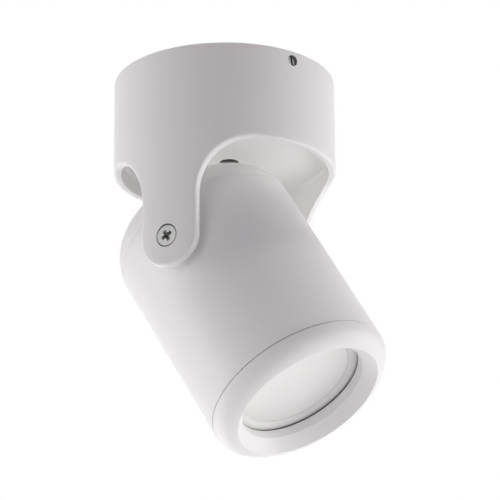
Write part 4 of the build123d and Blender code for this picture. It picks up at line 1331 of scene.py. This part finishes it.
def soft_lamp(name, place, target, watts, tint):
    """A square soft lamp that faces a target and isn't seen itself."""
    light = bpy.data.lights.new(name, "AREA")
    light.shape = "SQUARE"
    light.size = LAMP_SIZE
    light.energy = watts
    light.color = tint
    holder = add_object(name, light)
    holder.location = place
    holder.rotation_euler = (target - Vector(place)).to_track_quat("-Z", "Y").to_euler()
    holder.visible_camera = False


def white_seen(tree, shader, kind, part):
    """Mix this part of plain white into what camera, gloss and glass see; other light sees the shader."""
    path = wire(tree, "LightPath").outputs
    seen = maths(tree, "MAXIMUM", path["Is Camera Ray"], path["Is Glossy Ray"])
    seen = maths(tree, "MAXIMUM", seen, path["Is Transmission Ray"])
    white = wire(tree, kind, {"Color": (1, 1, 1, 1)}).outputs[0]
    return wire(tree, "MixShader", {0: maths(tree, "MULTIPLY", seen, part), 1: shader,
                                    2: white}).outputs[0]


class SPOTLIGHT_OT_stage(bpy.types.Operator):
    """Set up the camera, the soft studio light and a pale floor that is clear from below"""
    bl_idname = "spotlight.stage"
    bl_label = "Stage"

    def execute(self, context):
        scene, studio = context.scene, context.scene.spotlight_studio
        view = bpy.data.cameras.new("Photograph view")
        view.lens, view.sensor_width, view.clip_start = CAMERA_LENS, CAMERA_FRAME, CAMERA_NEAREST
        scene.camera = add_object("Photograph view", view)
        right, up, back = Vector(CAMERA_RIGHT), Vector(CAMERA_UP), -Vector(CAMERA_AHEAD)
        turn = Matrix((right, up, back)).transposed().to_4x4()
        scene.camera.matrix_world = Matrix.Translation(CAMERA_PLACE) @ turn

        mesh = bpy.data.meshes.new("floor")
        mesh.from_pydata([(x * FLOOR_HALF, y * FLOOR_HALF, -studio.floor_drop)
                          for x, y in ((-1, -1), (1, -1), (1, 1), (-1, 1))], [], [(0, 1, 2, 3)])
        pale = grained("Pale floor", (0.86, 0.86, 0.86), grain=0.004, depth=0.0001, roughness=0.8,
                       mottle=0.3, patchy=0.02)
        tree = pale.node_tree
        surface = next(node for node in tree.nodes if node.type == "OUTPUT_MATERIAL").inputs["Surface"]
        upper = white_seen(tree, surface.links[0].from_socket, "Emission", FLOOR_WHITE)
        under = wire(tree, "NewGeometry").outputs["Backfacing"]
        clear = wire(tree, "BsdfTransparent").outputs[0]
        tree.links.new(wire(tree, "MixShader", {0: under, 1: upper, 2: clear}).outputs[0], surface)
        mesh.materials.append(pale)
        add_object("floor", mesh)

        scene.world = bpy.data.worlds.new("Studio")
        scene.world.use_nodes = True
        tree = scene.world.node_tree
        even = tree.nodes["Background"]
        even.inputs["Color"].default_value = (*studio.world_tint, 1.0)
        even.inputs["Strength"].default_value = studio.world_level
        tree.links.new(white_seen(tree, even.outputs[0], "Background", 1.0),
                       tree.nodes["World Output"].inputs["Surface"])

        aim = Vector(AIM)
        lamps = [("overhead", (0, 0, OVERHEAD_HEIGHT), OVERHEAD_WATTS)]
        for name, where, watts in SOFT_LAMPS:
            side, rise, near = Vector(where).normalized() * LAMP_DISTANCE
            lamps.append((name, aim + right * side + up * rise + back * near, watts))
        for name, place, watts in lamps:
            soft_lamp(name, place, aim, watts * studio.lamp_power, studio.lamp_tint)
        scene.view_settings.view_transform = "Standard"
        return {"FINISHED"}


# ---- panel and registration ------------------------------------------

PIECES = ("canopy", "head", "ring", "lamp", "pivot_screws", "set_screws", "inner_finishes", "stage")


class SPOTLIGHT_PT_panel(bpy.types.Panel):
    """Sizes, finishes and the operators that build the spotlight"""
    bl_idname = "SPOTLIGHT_PT_panel"
    bl_label = "Ceiling Spotlight"
    bl_space_type = "VIEW_3D"
    bl_region_type = "UI"
    bl_category = "Spotlight"

    def draw(self, context):
        layout = self.layout
        for piece in PIECES:
            layout.operator(f"spotlight.{piece}")
        for name, group in GROUPS.items():
            box = layout.box()
            box.label(text=group.__doc__)
            for key in group.__annotations__:
                box.prop(getattr(context.scene, name), key)


CLASSES = (*GROUPS.values(), SPOTLIGHT_OT_canopy, SPOTLIGHT_OT_head, SPOTLIGHT_OT_ring,
           SPOTLIGHT_OT_lamp, SPOTLIGHT_OT_pivot_screws, SPOTLIGHT_OT_set_screws,
           SPOTLIGHT_OT_inner_finishes, SPOTLIGHT_OT_stage, SPOTLIGHT_PT_panel)


def register():
    for cls in CLASSES:
        bpy.utils.register_class(cls)
    for name, group in GROUPS.items():
        setattr(bpy.types.Scene, name, PointerProperty(type=group))


def unregister():
    for name in GROUPS:
        delattr(bpy.types.Scene, name)
    for cls in reversed(CLASSES):
        bpy.utils.unregister_class(cls)


def main():
    register()
    for piece in PIECES:
        getattr(bpy.ops.spotlight, piece)()


if __name__ == "__main__":
    main()
